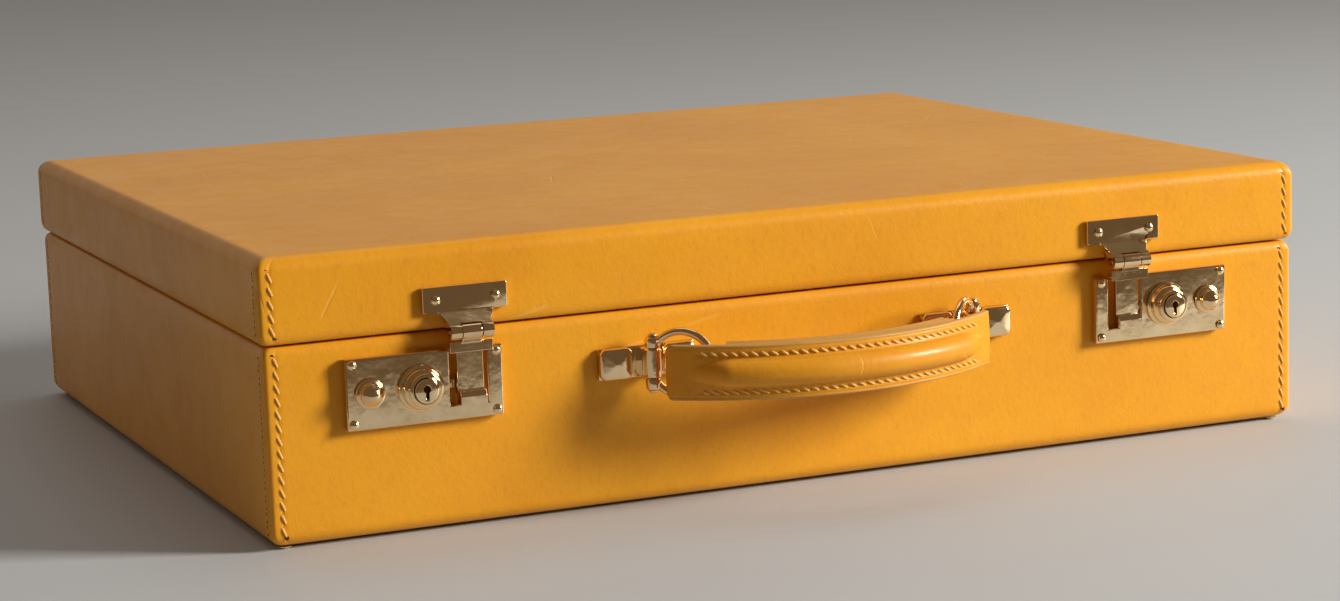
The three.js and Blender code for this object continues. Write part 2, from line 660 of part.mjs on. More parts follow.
function buildHandle() {
  const bowSteps = 20;
  const arc = (length) => length / ringBarRadius;
  const face = bowedBand(pocketFront, strapRadius, -strapEndAngle, strapEndAngle, strapHeight, bowSteps);
  const ribAngle = strapEndAngle - arc(ribEndInset);
  const crownAngle = ribAngle - arc(ribEndSlope);
  const ribLow = bowedBand(strapRadius - bite, strapRadius + ribShoulder, -ribAngle, ribAngle, ribHeight,
    bowSteps);
  const ribHigh = bowedBand(strapRadius, strapRadius + ribRise, -crownAngle, crownAngle, ribCrown, bowSteps);
  add('handle_strap', join(face, ribLow, ribHigh), hide);

  // the back layer fills the space between the rings, and a tongue at each end passes behind the ring
  const rightPost = Math.atan2(handlePostOffset - strapShift, postOut - strapCentreOut);
  const rightApart = Math.hypot(handlePostOffset - strapShift, postOut - strapCentreOut);
  const ringFar = ringReach + ringWireRadius;
  const fillAngle = rightPost - arc(Math.sqrt(ringFar ** 2 - (ringBarRadius - rightApart) ** 2)) - arc(1);
  const fillHeight = strapHeight - 2 * seatGap;
  const fill = bowedBand(backingBack, backingFront, -fillAngle, fillAngle, fillHeight, bowSteps);
  const foldAngle = strapEndAngle - arc(foldInset);
  const tongue = bowedBand(backingBack, backingBack + tongueThickness, -foldAngle, foldAngle, tongueHeight,
    bowSteps, handleZ);
  const folds = sides.map(([, side]) => {
    const foldIn = side * (foldAngle - arc(tongueFold));
    return bowedBand(backingBack, backingFront, foldIn, side * foldAngle, tongueHeight, 1, handleZ);
  });
  add('handle_backing', join(fill, tongue, ...folds), hide);
}

// A cushion-shaped block on the handle fitting's plate.
function pillow(x) {
  const halfWidth = pillowWidth / 2 - pillowBevel;
  const halfHeight = fittingHeight / 2 - pillowBevel;
  const corners = [[-halfWidth, -halfHeight], [halfWidth, -halfHeight], [halfWidth, halfHeight],
    [-halfWidth, halfHeight]];
  const outline = new THREE.Shape(corners.map(([u, v]) => new THREE.Vector2(u, v)));
  const geometry = new THREE.ExtrudeGeometry(outline, { depth: pillowHeight - 2 * pillowBevel,
    bevelSize: pillowBevel, bevelThickness: pillowBevel, bevelSegments: 2 });
  return solidOf(geometry.rotateX(Math.PI / 2).translate(x, frontY - seatGap - pillowBevel, handleZ));
}

function buildHandleFitting(sideName, side) {
  const x = hardwareShift + side * handlePostOffset;
  const postY = frontY - postOut;
  const postFoot = handleZ - postHeight / 2;
  const postHead = handleZ + postHeight / 2;
  const base = frontBox([x - fittingWidth / 2, seatGap, handleZ - fittingHeight / 2],
    [x + fittingWidth / 2, seatGap + fittingPlate, handleZ + fittingHeight / 2]);
  const pillowOffset = (fittingWidth - pillowWidth) / 2;
  const web = frontBox([x - postRadius, seatGap, postFoot], [x + postRadius, postOut, postHead]);
  const post = rodZ(postRadius, x, postY, postFoot, postHead);
  const bore = rodZ(swivelPinRadius + runGap, x, postY, postFoot - 1, postHead + 1, coarse);
  const whole = join(base, pillow(x - pillowOffset), pillow(x + pillowOffset), web, post);
  add(`handle_fitting_${sideName}`, cut(whole, bore), brass);

  // swivel pin with a domed cap at each end
  const eyeTop = postHead + runGap + eyeHeight;
  const eyeFoot = postFoot - runGap - eyeHeight;
  const capProfile = [[0, 0], ...dome(pinCapRadius, pinCapHeight)].map(([r, h]) => new THREE.Vector2(r, h));
  const cap = (z, flip) => solidOf(new THREE.LatheGeometry(capProfile, coarse)
    .rotateX(flip * Math.PI / 2).translate(x, postY, z));
  const shaft = rodZ(swivelPinRadius, x, postY, eyeFoot - seatGap, eyeTop + seatGap, coarse);
  add(`handle_pin_${sideName}`, join(shaft, cap(eyeTop + seatGap, 1), cap(eyeFoot - seatGap, -1)), brass);

  // ring: a bow of round wire between two eyes, drawn flat and then swung out to its resting angle
  const wireSteps = 30;
  const eyeMiddle = eyeTop - eyeHeight / 2 - handleZ;
  const openAngle = Math.PI - Math.asin(eyeMiddle / ringRadius);
  const bow = new THREE.CatmullRomCurve3(Array.from({ length: wireSteps + 1 }, (_, i) => {
    const angle = openAngle * (1 - 2 * i / wireSteps);
    return new THREE.Vector3(ringCentreOut + ringRadius * Math.cos(angle), 0, ringRadius * Math.sin(angle));
  }));
  const wire = new THREE.Shape();
  wire.absarc(0, 0, ringWireRadius, 0, Math.PI * 2);
  const tube = new THREE.ExtrudeGeometry(wire, { steps: wireSteps, extrudePath: bow, curveSegments: 5 });
  tube.rotateZ(-ringAngle(handlePostOffset - side * strapShift));
  if (side > 0) tube.scale(-1, 1, 1);
  tube.translate(x, postY, handleZ);
  const eyes = [rodZ(eyeRadius, x, postY, eyeTop - eyeHeight, eyeTop),
    rodZ(eyeRadius, x, postY, eyeFoot, eyeFoot + eyeHeight)];
  const eyeBore = rodZ(swivelPinRadius + runGap, x, postY, eyeFoot - 1, eyeTop + 1, coarse);
  add(`handle_ring_${sideName}`, cut(join(solidOf(tube), ...eyes), eyeBore), brass);
}

// ---- rear hinges

function buildRearHinge(sideName, side) {
  const x = side * rearHingeOffset;
  const axisY = lidBackY + rearAxisOut;
  const start = x - rearLeafWidth / 2;
  const end = x + rearLeafWidth / 2;
  const pitch = rearLeafWidth / rearKnuckles;
  const spans = Array.from({ length: rearKnuckles }, (_, i) => [start + i * pitch, start + (i + 1) * pitch]);
  const bore = rodX(hingePinRadius + runGap, start - 1, end + 1, axisY, gapHeight, coarse);

  // One leaf with its own knuckles: `up` is 1 for the lid's leaf and -1 for the base's.
  function leaf(faceY, up, isMine) {
    const leafBack = faceY + seatGap;
    const leafFront = leafBack + rearLeafThickness;
    let solid = box([start, leafBack, gapHeight + up * rimGap / 2],
      [end, leafFront, gapHeight + up * rearLeafHeight]);
    spans.forEach(([x0, x1], index) => {
      if (isMine(index)) return;
      solid = cut(solid, rodX(knuckleRadius + runGap, x0 - runGap / 2, x1 + runGap / 2, axisY, gapHeight));
    });
    spans.forEach(([x0, x1], index) => {
      if (!isMine(index)) return;
      const knuckle = rodX(knuckleRadius, x0 + runGap / 2, x1 - runGap / 2, axisY, gapHeight);
      const root = box([x0 + runGap / 2, leafBack, gapHeight + up * rimGap / 4],
        [x1 - runGap / 2, axisY, gapHeight + up * (knuckleRadius - rimGap / 2)]);
      solid = join(solid, knuckle, root);
    });
    const profile = [[0, -bite], [nailHeadRadius, -bite], ...dome(nailHeadRadius, nailHeadHeight)];
    const points = profile.map(([radius, height]) => new THREE.Vector2(radius, height));
    for (const place of [-1, 0, 1]) {
      const stud = new THREE.LatheGeometry(points, nailSides);
      const studX = x + place * (rearLeafWidth / 2 - rearStudInset);
      stud.translate(studX, leafFront, gapHeight + up * rearStudRise);
      solid = join(solid, solidOf(stud));
    }
    return cut(solid, bore);
  }
  const isBase = (index) => index % 2 === 0;
  add(`rear_hinge_base_leaf_${sideName}`, leaf(lidBackY - lidOverhang, -1, isBase), brass);
  add(`rear_hinge_lid_leaf_${sideName}`, leaf(lidBackY, 1, (index) => !isBase(index)), brass);
  add(`rear_hinge_pin_${sideName}`, rodX(hingePinRadius, start, end, axisY, gapHeight, coarse), brass);
}

// ---- lift-out tray

function buildTray() {
  const halfX = innerX - trayPlay;
  const halfY = innerY - trayPlay;
  const floorTop = trayFoot + trayWall;
  const left = -halfX + trayWall;
  const right = halfX - trayWall;
  const front = -halfY + trayWall;
  const back = halfY - trayWall;
  const ringLeft = right - ringSectionWidth;
  const wellRight = ringLeft - trayWall;
  const middle = (left + wellRight) / 2;
  const split = front + trayFrontWell;
  const outside = roundedPlan(halfX, halfY, trayCornerRadius, trayFoot, trayTop);
  const inside = roundedPlan(right, back, trayInsideRadius, floorTop, trayTop + 1);
  const well = (x0, x1, y0, y1) => inside.intersect(
    box([x0, caseCentreY + y0, floorTop], [x1, caseCentreY + y1, trayTop + 1]));
  add('tray', cut(outside,
    well(ringLeft, right, front, back),
    well(left, middle - trayWall / 2, front, split),
    well(middle + trayWall / 2, wellRight, front, split),
    well(left, wellRight, split + trayWall, back)), suede);

  const rollDepth = (back - front - (ringRollCount + 1) * ringRollGap) / ringRollCount;
  const rollFoot = floorTop + seatGap;
  const rollOutline = roundedOutline(rollDepth / 2, rollFoot, rollFoot + ringRollHeight, ringRollFootRound,
    ringRollTopRound);
  for (let i = 0; i < ringRollCount; i += 1) {
    const rollFront = front + ringRollGap + i * (rollDepth + ringRollGap);
    const roll = new THREE.ExtrudeGeometry(rollOutline, { depth: ringSectionWidth - 2 * ringRollGap,
      bevelEnabled: false, curveSegments: 3 });
    roll.rotateX(Math.PI / 2).rotateZ(Math.PI / 2);
    roll.translate(ringLeft + ringRollGap, caseCentreY + rollFront + rollDepth / 2, 0);
    add(`ring_roll_${i + 1}`, solidOf(roll), suede);
  }

  for (const [sideName, side] of sides) {
    const tabOut = side * (halfX - trayWall - seatGap);
    add(`tray_tab_${sideName}`, box(
      [tabOut, caseCentreY - trayTabWidth / 2, trayTop - trayTabSeat],
      [tabOut - side * trayTabThickness, caseCentreY + trayTabWidth / 2, trayTop + trayTabRise]), hide);
  }
}

buildBase();
buildLid();
buildFeet();
for (const [sideName, side] of sides) {
  buildLock(sideName, side);
  buildHasp(sideName, side);
  buildStrike(sideName, side);
  buildHandleFitting(sideName, side);
  buildRearHinge(sideName, side);
}
buildHandle();
buildTray();

export default group;
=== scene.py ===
"""Looks of the leather jewellery case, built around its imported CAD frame.

Metres, +Z up, the front of the case faces -Y. Every place comes from the frame's nodes.
"""

import json
import math

import bmesh
import bpy
from mathutils import Matrix, Vector, noise

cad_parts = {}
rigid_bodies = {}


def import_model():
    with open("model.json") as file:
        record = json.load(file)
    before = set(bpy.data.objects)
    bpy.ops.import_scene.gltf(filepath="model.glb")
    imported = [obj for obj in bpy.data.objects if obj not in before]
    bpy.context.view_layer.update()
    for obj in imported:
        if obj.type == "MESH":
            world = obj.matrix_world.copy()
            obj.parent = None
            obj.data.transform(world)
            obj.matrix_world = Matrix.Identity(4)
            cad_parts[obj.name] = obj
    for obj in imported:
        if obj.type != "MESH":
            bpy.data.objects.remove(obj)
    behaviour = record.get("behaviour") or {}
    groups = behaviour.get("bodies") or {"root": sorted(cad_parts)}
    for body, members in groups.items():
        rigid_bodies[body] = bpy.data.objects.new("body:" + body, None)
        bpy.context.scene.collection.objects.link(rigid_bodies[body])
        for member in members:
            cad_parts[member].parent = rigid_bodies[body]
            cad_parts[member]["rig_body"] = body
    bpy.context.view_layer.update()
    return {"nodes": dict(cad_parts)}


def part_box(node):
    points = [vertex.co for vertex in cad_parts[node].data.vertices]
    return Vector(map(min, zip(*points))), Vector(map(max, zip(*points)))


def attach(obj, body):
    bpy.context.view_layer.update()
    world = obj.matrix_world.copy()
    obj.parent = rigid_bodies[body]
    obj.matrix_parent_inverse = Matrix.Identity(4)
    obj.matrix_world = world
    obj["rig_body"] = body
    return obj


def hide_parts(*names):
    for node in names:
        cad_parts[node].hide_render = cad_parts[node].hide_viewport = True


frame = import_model()

MM = 0.001
SIDES = {"left": -1, "right": 1}
SCENE = bpy.context.scene

base_low, base_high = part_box("base_leather_cover")
lid_low, lid_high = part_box("lid_leather_cover")
case_y = (lid_low.y + lid_high.y) / 2
front_y = base_low.y
gap_z = (base_high.z + lid_low.z) / 2


# ---------------- camera

# The viewing angle and lens of the photograph, found once by matching the edges of the case.
CAMERA_PLACE = Vector((-0.4849, -1.1447, 0.256))
CAMERA_AZIMUTH = 23.23
CAMERA_DIP = 9.64
CAMERA_ROLL = -1.92
CAMERA_LENS = 86.7


def make_camera():
    azimuth = math.radians(CAMERA_AZIMUTH)
    dip = math.radians(CAMERA_DIP)
    roll = math.radians(CAMERA_ROLL)
    forward = Vector((math.sin(azimuth) * math.cos(dip), math.cos(azimuth) * math.cos(dip), -math.sin(dip)))
    level_right = forward.cross(Vector((0, 0, 1))).normalized()
    level_up = level_right.cross(forward)
    right = level_right * math.cos(roll) + level_up * math.sin(roll)
    up = level_up * math.cos(roll) - level_right * math.sin(roll)
    data = bpy.data.cameras.new("camera")
    data.lens = CAMERA_LENS
    data.sensor_width = 36
    camera = bpy.data.objects.new("camera", data)
    camera.matrix_world = Matrix((
        (right.x, up.x, -forward.x, CAMERA_PLACE.x),
        (right.y, up.y, -forward.y, CAMERA_PLACE.y),
        (right.z, up.z, -forward.z, CAMERA_PLACE.z),
        (0, 0, 0, 1),
    ))
    SCENE.collection.objects.link(camera)
    SCENE.camera = camera


# ---------------- materials


class Shader:
    """A Principled material with short calls for the nodes used here."""

    def __init__(self, name, metallic=0.0, roughness=0.5, specular=0.5):
        self.material = bpy.data.materials.new(name)
        self.material.use_nodes = True
        self.tree = self.material.node_tree
        self.surface = self.tree.nodes["Principled BSDF"]
        self.set("Metallic", metallic)
        self.set("Roughness", roughness)
        self.set("Specular IOR Level", specular)
        self.place = self.add("ShaderNodeTexCoord").outputs["Object"]

    def feed(self, socket, value):
        """Links another node's output to a socket, or sets the socket to a plain value."""
        if isinstance(value, bpy.types.NodeSocket):
            self.tree.links.new(value, socket)
        else:
            socket.default_value = value

    def set(self, name, value):
        self.feed(self.surface.inputs[name], value)

    def add(self, kind, links=None, values=None, **settings):
        node = self.tree.nodes.new(kind)
        for key, value in settings.items():
            setattr(node, key, value)
        for key, value in (values or {}).items():
            node.inputs[key].default_value = value
        for key, source in (links or {}).items():
            self.tree.links.new(source, node.inputs[key])
        return node

    def stretched(self, scale):
        return self.add("ShaderNodeMapping", {"Vector": self.place}, {"Scale": scale}).outputs["Vector"]

    def noise(self, size, detail=3, roughness=0.55, distortion=0.0, place=None):
        """Smooth noise from 0 to 1, whose blobs are about `size` metres across."""
        values = {"Scale": 1 / size, "Detail": detail, "Roughness": roughness, "Distortion": distortion}
        return self.add("ShaderNodeTexNoise", {"Vector": place or self.place}, values).outputs["Fac"]

    def cells(self, size, feature="F1", place=None):
        node = self.add("ShaderNodeTexVoronoi", {"Vector": place or self.place}, {"Scale": 1 / size},
                        feature=feature)
        return node.outputs["Distance"]

    def ramp(self, source, low, high):
        """0 below `low`, 1 above `high`; the other way round when low is above high."""
        values = {"From Min": low, "From Max": high}
        return self.add("ShaderNodeMapRange", {"Value": source}, values, clamp=True).outputs["Result"]

    def math(self, operation, *values):
        node = self.add("ShaderNodeMath", operation=operation)
        for socket, value in zip(node.inputs, values):
            self.feed(socket, value)
        return node.outputs[0]

    def mix(self, factor, first, second):
        node = self.add("ShaderNodeMixRGB")
        for socket, value in zip(node.inputs, (factor, first, second)):
            self.feed(socket, value)
        return node.outputs["Color"]

    def bump(self, height, depth, below=None):
        links = {"Height": height}
        if below is not None:
            links["Normal"] = below
        node = self.add("ShaderNodeBump", links, {"Strength": 1.0, "Distance": depth})
        return node.outputs["Normal"]


def colour(red, green, blue):
    return (red, green, blue, 1.0)


FIBRE_TONE = colour(0.33, 0.12, 0.012)
SCRATCH_TONE = colour(0.93, 0.60, 0.17)
SCRATCH_DEPTH = 0.00008
PORE_DEPTH = 0.00003
GRAIN_DEPTH = 0.00010


def hide_material(name, light, dark, roughness=0.40):
    """Waxed bridle hide: mottled tan, fine pores and creases, a few scratches, a soft wax gloss."""
    s = Shader(name, roughness=roughness, specular=0.24)
    patches = s.noise(0.085, detail=5, roughness=0.6, distortion=0.4)
    tone = s.mix(s.ramp(patches, 0.22, 0.86), light, dark)
    cloud = s.noise(0.012, detail=4, roughness=0.65)
    tone = s.mix(s.math("MULTIPLY", s.ramp(cloud, 0.45, 0.72), 0.30), tone, dark)
    fibre = s.noise(0.0016, detail=2, place=s.stretched((1, 1, 0.35)))
    tone = s.mix(s.math("MULTIPLY", s.ramp(fibre, 0.55, 0.8), 0.16), tone, FIBRE_TONE)
    marks = s.cells(0.052, "DISTANCE_TO_EDGE", s.stretched((1.0, 1.0, 0.6)))
    marked = s.ramp(s.noise(0.03, detail=1), 0.62, 0.70)
    scratch = s.math("MULTIPLY", s.ramp(marks, 0.010, 0.003), marked)
    tone = s.mix(s.math("MULTIPLY", scratch, 0.22), tone, SCRATCH_TONE)
    s.set("Base Color", tone)
    s.set("Roughness", s.math("MULTIPLY_ADD", s.ramp(cloud, 0.3, 0.7), 0.14, roughness - 0.05))
    s.set("Coat Weight", 0.14)
    s.set("Coat Roughness", 0.17)
    pores = s.cells(0.0011)
    grain = s.noise(0.0022, detail=3, roughness=0.6)
    normal = s.bump(s.ramp(pores, 0.0, 0.35), PORE_DEPTH)
    normal = s.bump(grain, GRAIN_DEPTH, normal)
    normal = s.bump(scratch, -SCRATCH_DEPTH, normal)
    s.set("Normal", normal)
    return s.material


def cut_edge_material():
    """Burnished cut edge of the hide: duller, darker tan with fibres along the edge, and a grey cast that is
    painted sheen of a grazing reflection.
    """
    s = Shader("burnished_edge_and_sheen", roughness=0.45, specular=0.4)
    fibres = s.noise(0.004, detail=3, place=s.stretched((0.35, 0.35, 4.0)))
    # The grey in these tans is painted sheen; the duller, darker tan is the edge's own.
    s.set("Base Color", s.mix(fibres, colour(0.46, 0.235, 0.055), colour(0.66, 0.37, 0.10)))
    s.set("Normal", s.bump(fibres, 0.00012))
    return s.material


def thread_material():
    """Waxed linen thread with its twist."""
    s = Shader("linen_thread", roughness=0.5, specular=0.35)
    twist = s.noise(0.0006, detail=1)
    s.set("Base Color", s.mix(twist, colour(0.74, 0.42, 0.09), colour(0.90, 0.60, 0.20)))
    s.set("Normal", s.bump(twist, 0.0001))
    return s.material


# Painted shade: a near-black disc stands in for the shade inside awl holes and at the bottom of the keyhole.
def hole_shade_material():
    s = Shader("awl_hole_painted_shade", roughness=0.9, specular=0.1)
    s.set("Base Color", s.mix(s.noise(0.0008), colour(0.045, 0.014, 0.003), colour(0.10, 0.034, 0.006)))
    return s.material


def brass_material(name, tint, roughness, smudge):
    """Polished pale brass with handling smudges, hairline scratches and a slight unevenness."""
    s = Shader(name, metallic=1.0, roughness=roughness)
    smudges = s.noise(0.009, detail=4, roughness=0.6)
    tarnish = colour(tint[0] * 0.9, tint[1] * 0.85, tint[2] * 0.78)
    s.set("Base Color", s.mix(s.ramp(smudges, 0.35, 0.75), tint, tarnish))
    s.set("Roughness", s.math("MULTIPLY_ADD", s.ramp(smudges, 0.35, 0.8), smudge, roughness))
    hairlines = s.noise(0.0012, detail=2, place=s.stretched((0.15, 1, 1)))
    waves = s.noise(0.006, detail=2)
    normal = s.bump(waves, 0.00008)
    s.set("Normal", s.bump(hairlines, 0.000006, normal))
    return s.material


def suede_material(name, light, dark, nap=0.00025):
    """Suede or velvet: brushed patches, a short nap and a soft sheen."""
    s = Shader(name, roughness=0.95, specular=0.12)
    brushed = s.noise(0.03, detail=3, distortion=1.2)
    fibre = s.noise(0.0008, detail=3, roughness=0.7)
    tone = s.mix(s.ramp(brushed, 0.35, 0.68), light, dark)
    s.set("Base Color", s.mix(s.math("MULTIPLY", fibre, 0.5), tone, dark))
    s.set("Sheen Weight", 0.6)
    s.set("Sheen Roughness", 0.45)
    s.set("Sheen Tint", colour(0.85, 0.66, 0.48))
    s.set("Normal", s.bump(fibre, nap))
    return s.material


def wood_material():
    """Bare birch ply with long grain."""
    s = Shader("birch_ply", roughness=0.65, specular=0.3)
    grain = s.noise(0.004, detail=4, roughness=0.6, distortion=0.6, place=s.stretched((0.06, 0.06, 1.0)))
    s.set("Base Color", s.mix(grain, colour(0.44, 0.27, 0.13), colour(0.68, 0.48, 0.28)))
    s.set("Normal", s.bump(grain, 0.0001))
    return s.material


TAN_LIGHT = colour(0.86, 0.40, 0.020)
TAN_DARK = colour(0.71, 0.285, 0.010)
PALE_BRASS = colour(0.93, 0.73, 0.45)

HIDE = hide_material("london_tan_hide", TAN_LIGHT, TAN_DARK)
HANDLE_HIDE = hide_material("handle_hide", colour(0.82, 0.37, 0.019), colour(0.64, 0.245, 0.009), 0.46)
TAB_HIDE = hide_material("tab_hide", colour(0.62, 0.30, 0.05), colour(0.50, 0.21, 0.03))
EDGE_AND_SHEEN = cut_edge_material()
THREAD = thread_material()
# Painted shade for the awl holes and the keyhole's bottom.
HOLE_SHADE = hole_shade_material()
BRASS = brass_material("polished_brass", PALE_BRASS, 0.07, 0.14)
NAIL_BRASS = brass_material("nail_brass", colour(0.93, 0.78, 0.50), 0.10, 0.10)
SATIN_BRASS = brass_material("satin_brass", colour(0.84, 0.66, 0.36), 0.22, 0.14)
SUEDE = suede_material("suede_lining", colour(0.24, 0.115, 0.050), colour(0.14, 0.062, 0.026))
PAD_SUEDE = suede_material("lid_pad_suede", colour(0.25, 0.120, 0.053), colour(0.20, 0.094, 0.041))
VELVET = suede_material("ring_roll_velvet", colour(0.30, 0.150, 0.070), colour(0.17, 0.080, 0.036), 0.0003)
WOOD = wood_material()


# ---------------- mesh helpers


class Mesher:
    """Gathers vertices and faces of one piece."""

    def __init__(self):
        self.vertices = []
        self.faces = []
        self.slots = []

    def ring(self, points):
        start = len(self.vertices)
        self.vertices.extend(points)
        return list(range(start, start + len(points)))

    def face(self, corners, slot=0):
        self.faces.append(corners)
        self.slots.append(slot)

    def bridge(self, lower, upper, slot=0, closed=True):
        """Quads between two rings of the same count. slot may be a list, one for each quad."""
        count = len(lower)
        for i in range(count if closed else count - 1):
            j = (i + 1) % count
            self.face((lower[i], lower[j], upper[j], upper[i]), slot[i] if isinstance(slot, list) else slot)

    def skin(self, rings, slot=0, closed=True):
        """Bridges each ring to the next."""
        for lower, upper in zip(rings, rings[1:]):
            self.bridge(lower, upper, slot, closed)

    def fan(self, ring, centre, slot=0):
        middle = self.ring([centre])[0]
        for i, corner in enumerate(ring):
            self.face((corner, ring[(i + 1) % len(ring)], middle), slot)

    def make(self, name, *materials, sharp=35):
        mesh = bpy.data.meshes.new(name)
        mesh.from_pydata([tuple(v) for v in self.vertices], [], self.faces)
        for material in materials:
            mesh.materials.append(material)
        for polygon, slot in zip(mesh.polygons, self.slots):
            polygon.material_index = slot
        return finish_mesh(name, mesh, sharp)


def place_mesh(name, mesh, sharp=35):
    """A new object in the scene, smooth but for edges sharper than `sharp` degrees."""
    mesh.shade_smooth()
    mesh.set_sharp_from_angle(angle=math.radians(sharp))
    piece = bpy.data.objects.new(name, mesh)
    SCENE.collection.objects.link(piece)
    return piece


def finish_mesh(name, mesh, sharp):
    """A new object whose faces all look outwards."""
    work = bmesh.new()
    work.from_mesh(mesh)
    bmesh.ops.recalc_face_normals(work, faces=work.faces)
    work.to_mesh(mesh)
    work.free()
    return place_mesh(name, mesh, sharp)


def settle(piece, node):
    """The piece stands for a CAD node: it moves with the node's body, and the node is hidden."""
    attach(piece, frame["nodes"][node]["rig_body"])
    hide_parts(node)
    return piece


def apply_modifiers(piece):
    depsgraph = bpy.context.evaluated_depsgraph_get()
    mesh = bpy.data.meshes.new_from_object(piece.evaluated_get(depsgraph))
    piece.modifiers.clear()
    piece.data = mesh


EASED_ANGLE = 40                 # degrees between faces from which an edge counts as hard
SHORT_EDGE = 2.0 * MM


def eased_copy(node, material, width, segments=3, shortest=0.0):
    """A copy of a CAD node's solid with its hard edges rounded over.

    Edges up to `shortest` long stay as they are. Where it is 0, narrow places make the rounding smaller.
    """
    work = bmesh.new()
    work.from_mesh(frame["nodes"][node].data)
    bmesh.ops.remove_doubles(work, verts=work.verts, dist=1e-6)
    bmesh.ops.dissolve_limit(work, angle_limit=math.radians(1), verts=work.verts, edges=work.edges)
    hard = [e for e in work.edges
            if e.calc_length() > shortest and e.calc_face_angle(0) > math.radians(EASED_ANGLE)]
    bmesh.ops.bevel(work, geom=hard, offset=width, segments=segments, affect="EDGES", profile=0.5,
                    clamp_overlap=shortest == 0)
    mesh = bpy.data.meshes.new(node + "_eased")
    work.to_mesh(mesh)
    work.free()
    mesh.materials.clear()
    mesh.materials.append(material)
    piece = place_mesh(node + "_eased", mesh)
    flatter = piece.modifiers.new("flatter", "WEIGHTED_NORMAL")
    flatter.keep_sharp = True
    flatter.weight = 80
    apply_modifiers(piece)
    return settle(piece, node)


def middle_of(node):
    low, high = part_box(node)
    return (low + high) / 2


def turns(count):
    """Angles that divide a full turn evenly."""
    return [2 * math.pi * i / count for i in range(count)]


def lathe_rings(mesher, profile, origin, axis, steps):
    """A ring for each [radius, height] pair in millimetres, or one point where the radius is 0."""
    across = axis.orthogonal().normalized()
    third = axis.cross(across)
    rings = []
    for radius, height in profile:
        centre = Vector(origin) + axis * height * MM
        rings.append(mesher.ring([centre + (across * math.cos(a) + third * math.sin(a)) * radius * MM
                                  for a in (turns(steps) if radius else [0])]))
    return rings


def turned(name, profile, origin, axis, material, steps=48):
    """A turned piece, whose profile starts and ends on the axis."""
    mesher = Mesher()
    rings = lathe_rings(mesher, profile, origin, Vector(axis), steps)
    for lower, upper in zip(rings, rings[1:]):
        if len(lower) > 1 and len(upper) > 1:
            mesher.bridge(lower, upper)
            continue
        for i in range(steps):
            j = (i + 1) % steps
            if len(lower) == 1:
                mesher.face((lower[0], upper[j], upper[i]))
            else:
                mesher.face((lower[i], lower[j], upper[0]))
    return mesher.make(name, material)


def turned_ring(name, profile, origin, axis, material, steps):
    """A turned piece with a bore: the profile closes on itself."""
    mesher = Mesher()
    rings = lathe_rings(mesher, profile, origin, Vector(axis), steps)
    mesher.skin(rings + rings[:1])
    return mesher.make(name, material)


PIN_RADIUS = 0.85
PIN_END_RADIUS = 0.7


def build_hinge_pin(node, ease):
    """A pin along X with eased ends."""
    low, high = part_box(node)
    length = (high.x - low.x) / MM
    profile = [(0, 0), (PIN_END_RADIUS, 0), (PIN_RADIUS, ease), (PIN_RADIUS, length - ease),
               (PIN_END_RADIUS, length), (0, length)]
    centre = middle_of(node)
    centre.x = low.x
    settle(turned(node + "_rod", profile, centre, (1, 0, 0), SATIN_BRASS, steps=28), node)


def arc(centre, radius, start, end, steps):
    """[radius, height] points along an arc, in degrees."""
    points = []
    for i in range(steps + 1):
        angle = math.radians(start + (end - start) * i / steps)
        points.append((centre[0] + radius * math.cos(angle), centre[1] + radius * math.sin(angle)))
    return points


def dome_profile(radius, height, foot=0.0, steps=8):
    points = []
    for i in range(steps + 1):
        angle = math.pi / 2 * i / steps
        points.append((0 if i == steps else radius * math.cos(angle), foot + height * math.sin(angle)))
    return points


def wire(mesher, path, radius, sides=12, slot=0):
    """A round wire along a path, with flat ends."""
    previous = None
    side = None
    for i, point in enumerate(path):
        ahead = path[min(i + 1, len(path) - 1)] - path[max(i - 1, 0)]
        ahead.normalize()
        if side is None:
            side = ahead.orthogonal().normalized()
        side = (side - ahead * side.dot(ahead)).normalized()
        other = ahead.cross(side)
        size = radius[i] if isinstance(radius, list) else radius
        ring = mesher.ring([point + (side * math.cos(a) + other * math.sin(a)) * size for a in turns(sides)])
        if previous is None:
            mesher.fan(ring, point, slot)
        else:
            mesher.bridge(previous, ring, slot)
        previous = ring
    mesher.fan(previous, path[-1], slot)


# ---------------- stitching


# The dark discs at the awl holes are painted shade, standing in for the shade inside each hole.
HOLE_RISE = 0.04 * MM            # of an awl hole's dark disc above the hide
HOLE_DEPTH = 0.12 * MM


def add_stitch(mesher, centre, along, outward, length, radius, lift=0.6, hole=1.7):
    """One slanted stitch that dips into an awl hole at each end. Slot 0 is thread and 1 the painted shade
    disc over each hole.
    """
    along = along.normalized()
    path = []
    sizes = []
    steps = 6
    for i in range(steps + 1):
        t = -1 + 2 * i / steps
        rise = radius * (lift - 1.9 * abs(t) ** 3)
        path.append(centre + along * (t * length / 2) + outward * rise)
        sizes.append(radius * (1 - 0.35 * t ** 4))
    wire(mesher, path, sizes, sides=7)
    across = outward.cross(along).normalized()
    # Each end gets a dark disc of painted shade for the shade in the awl hole.
    for end in (-1, 1):
        middle = centre + along * (end * length * 0.5) + outward * HOLE_RISE
        rim = [middle + along * math.cos(a) * radius * hole * 1.3 + across * math.sin(a) * radius * hole
               for a in turns(8)]
        ring = mesher.ring(rim)
        mesher.fan(ring, middle + outward * 0.02 * MM, 1)
        back = mesher.ring([p - outward * HOLE_DEPTH for p in rim])
        mesher.bridge(ring, back, 1)
        mesher.fan(back, middle - outward * HOLE_DEPTH, 1)


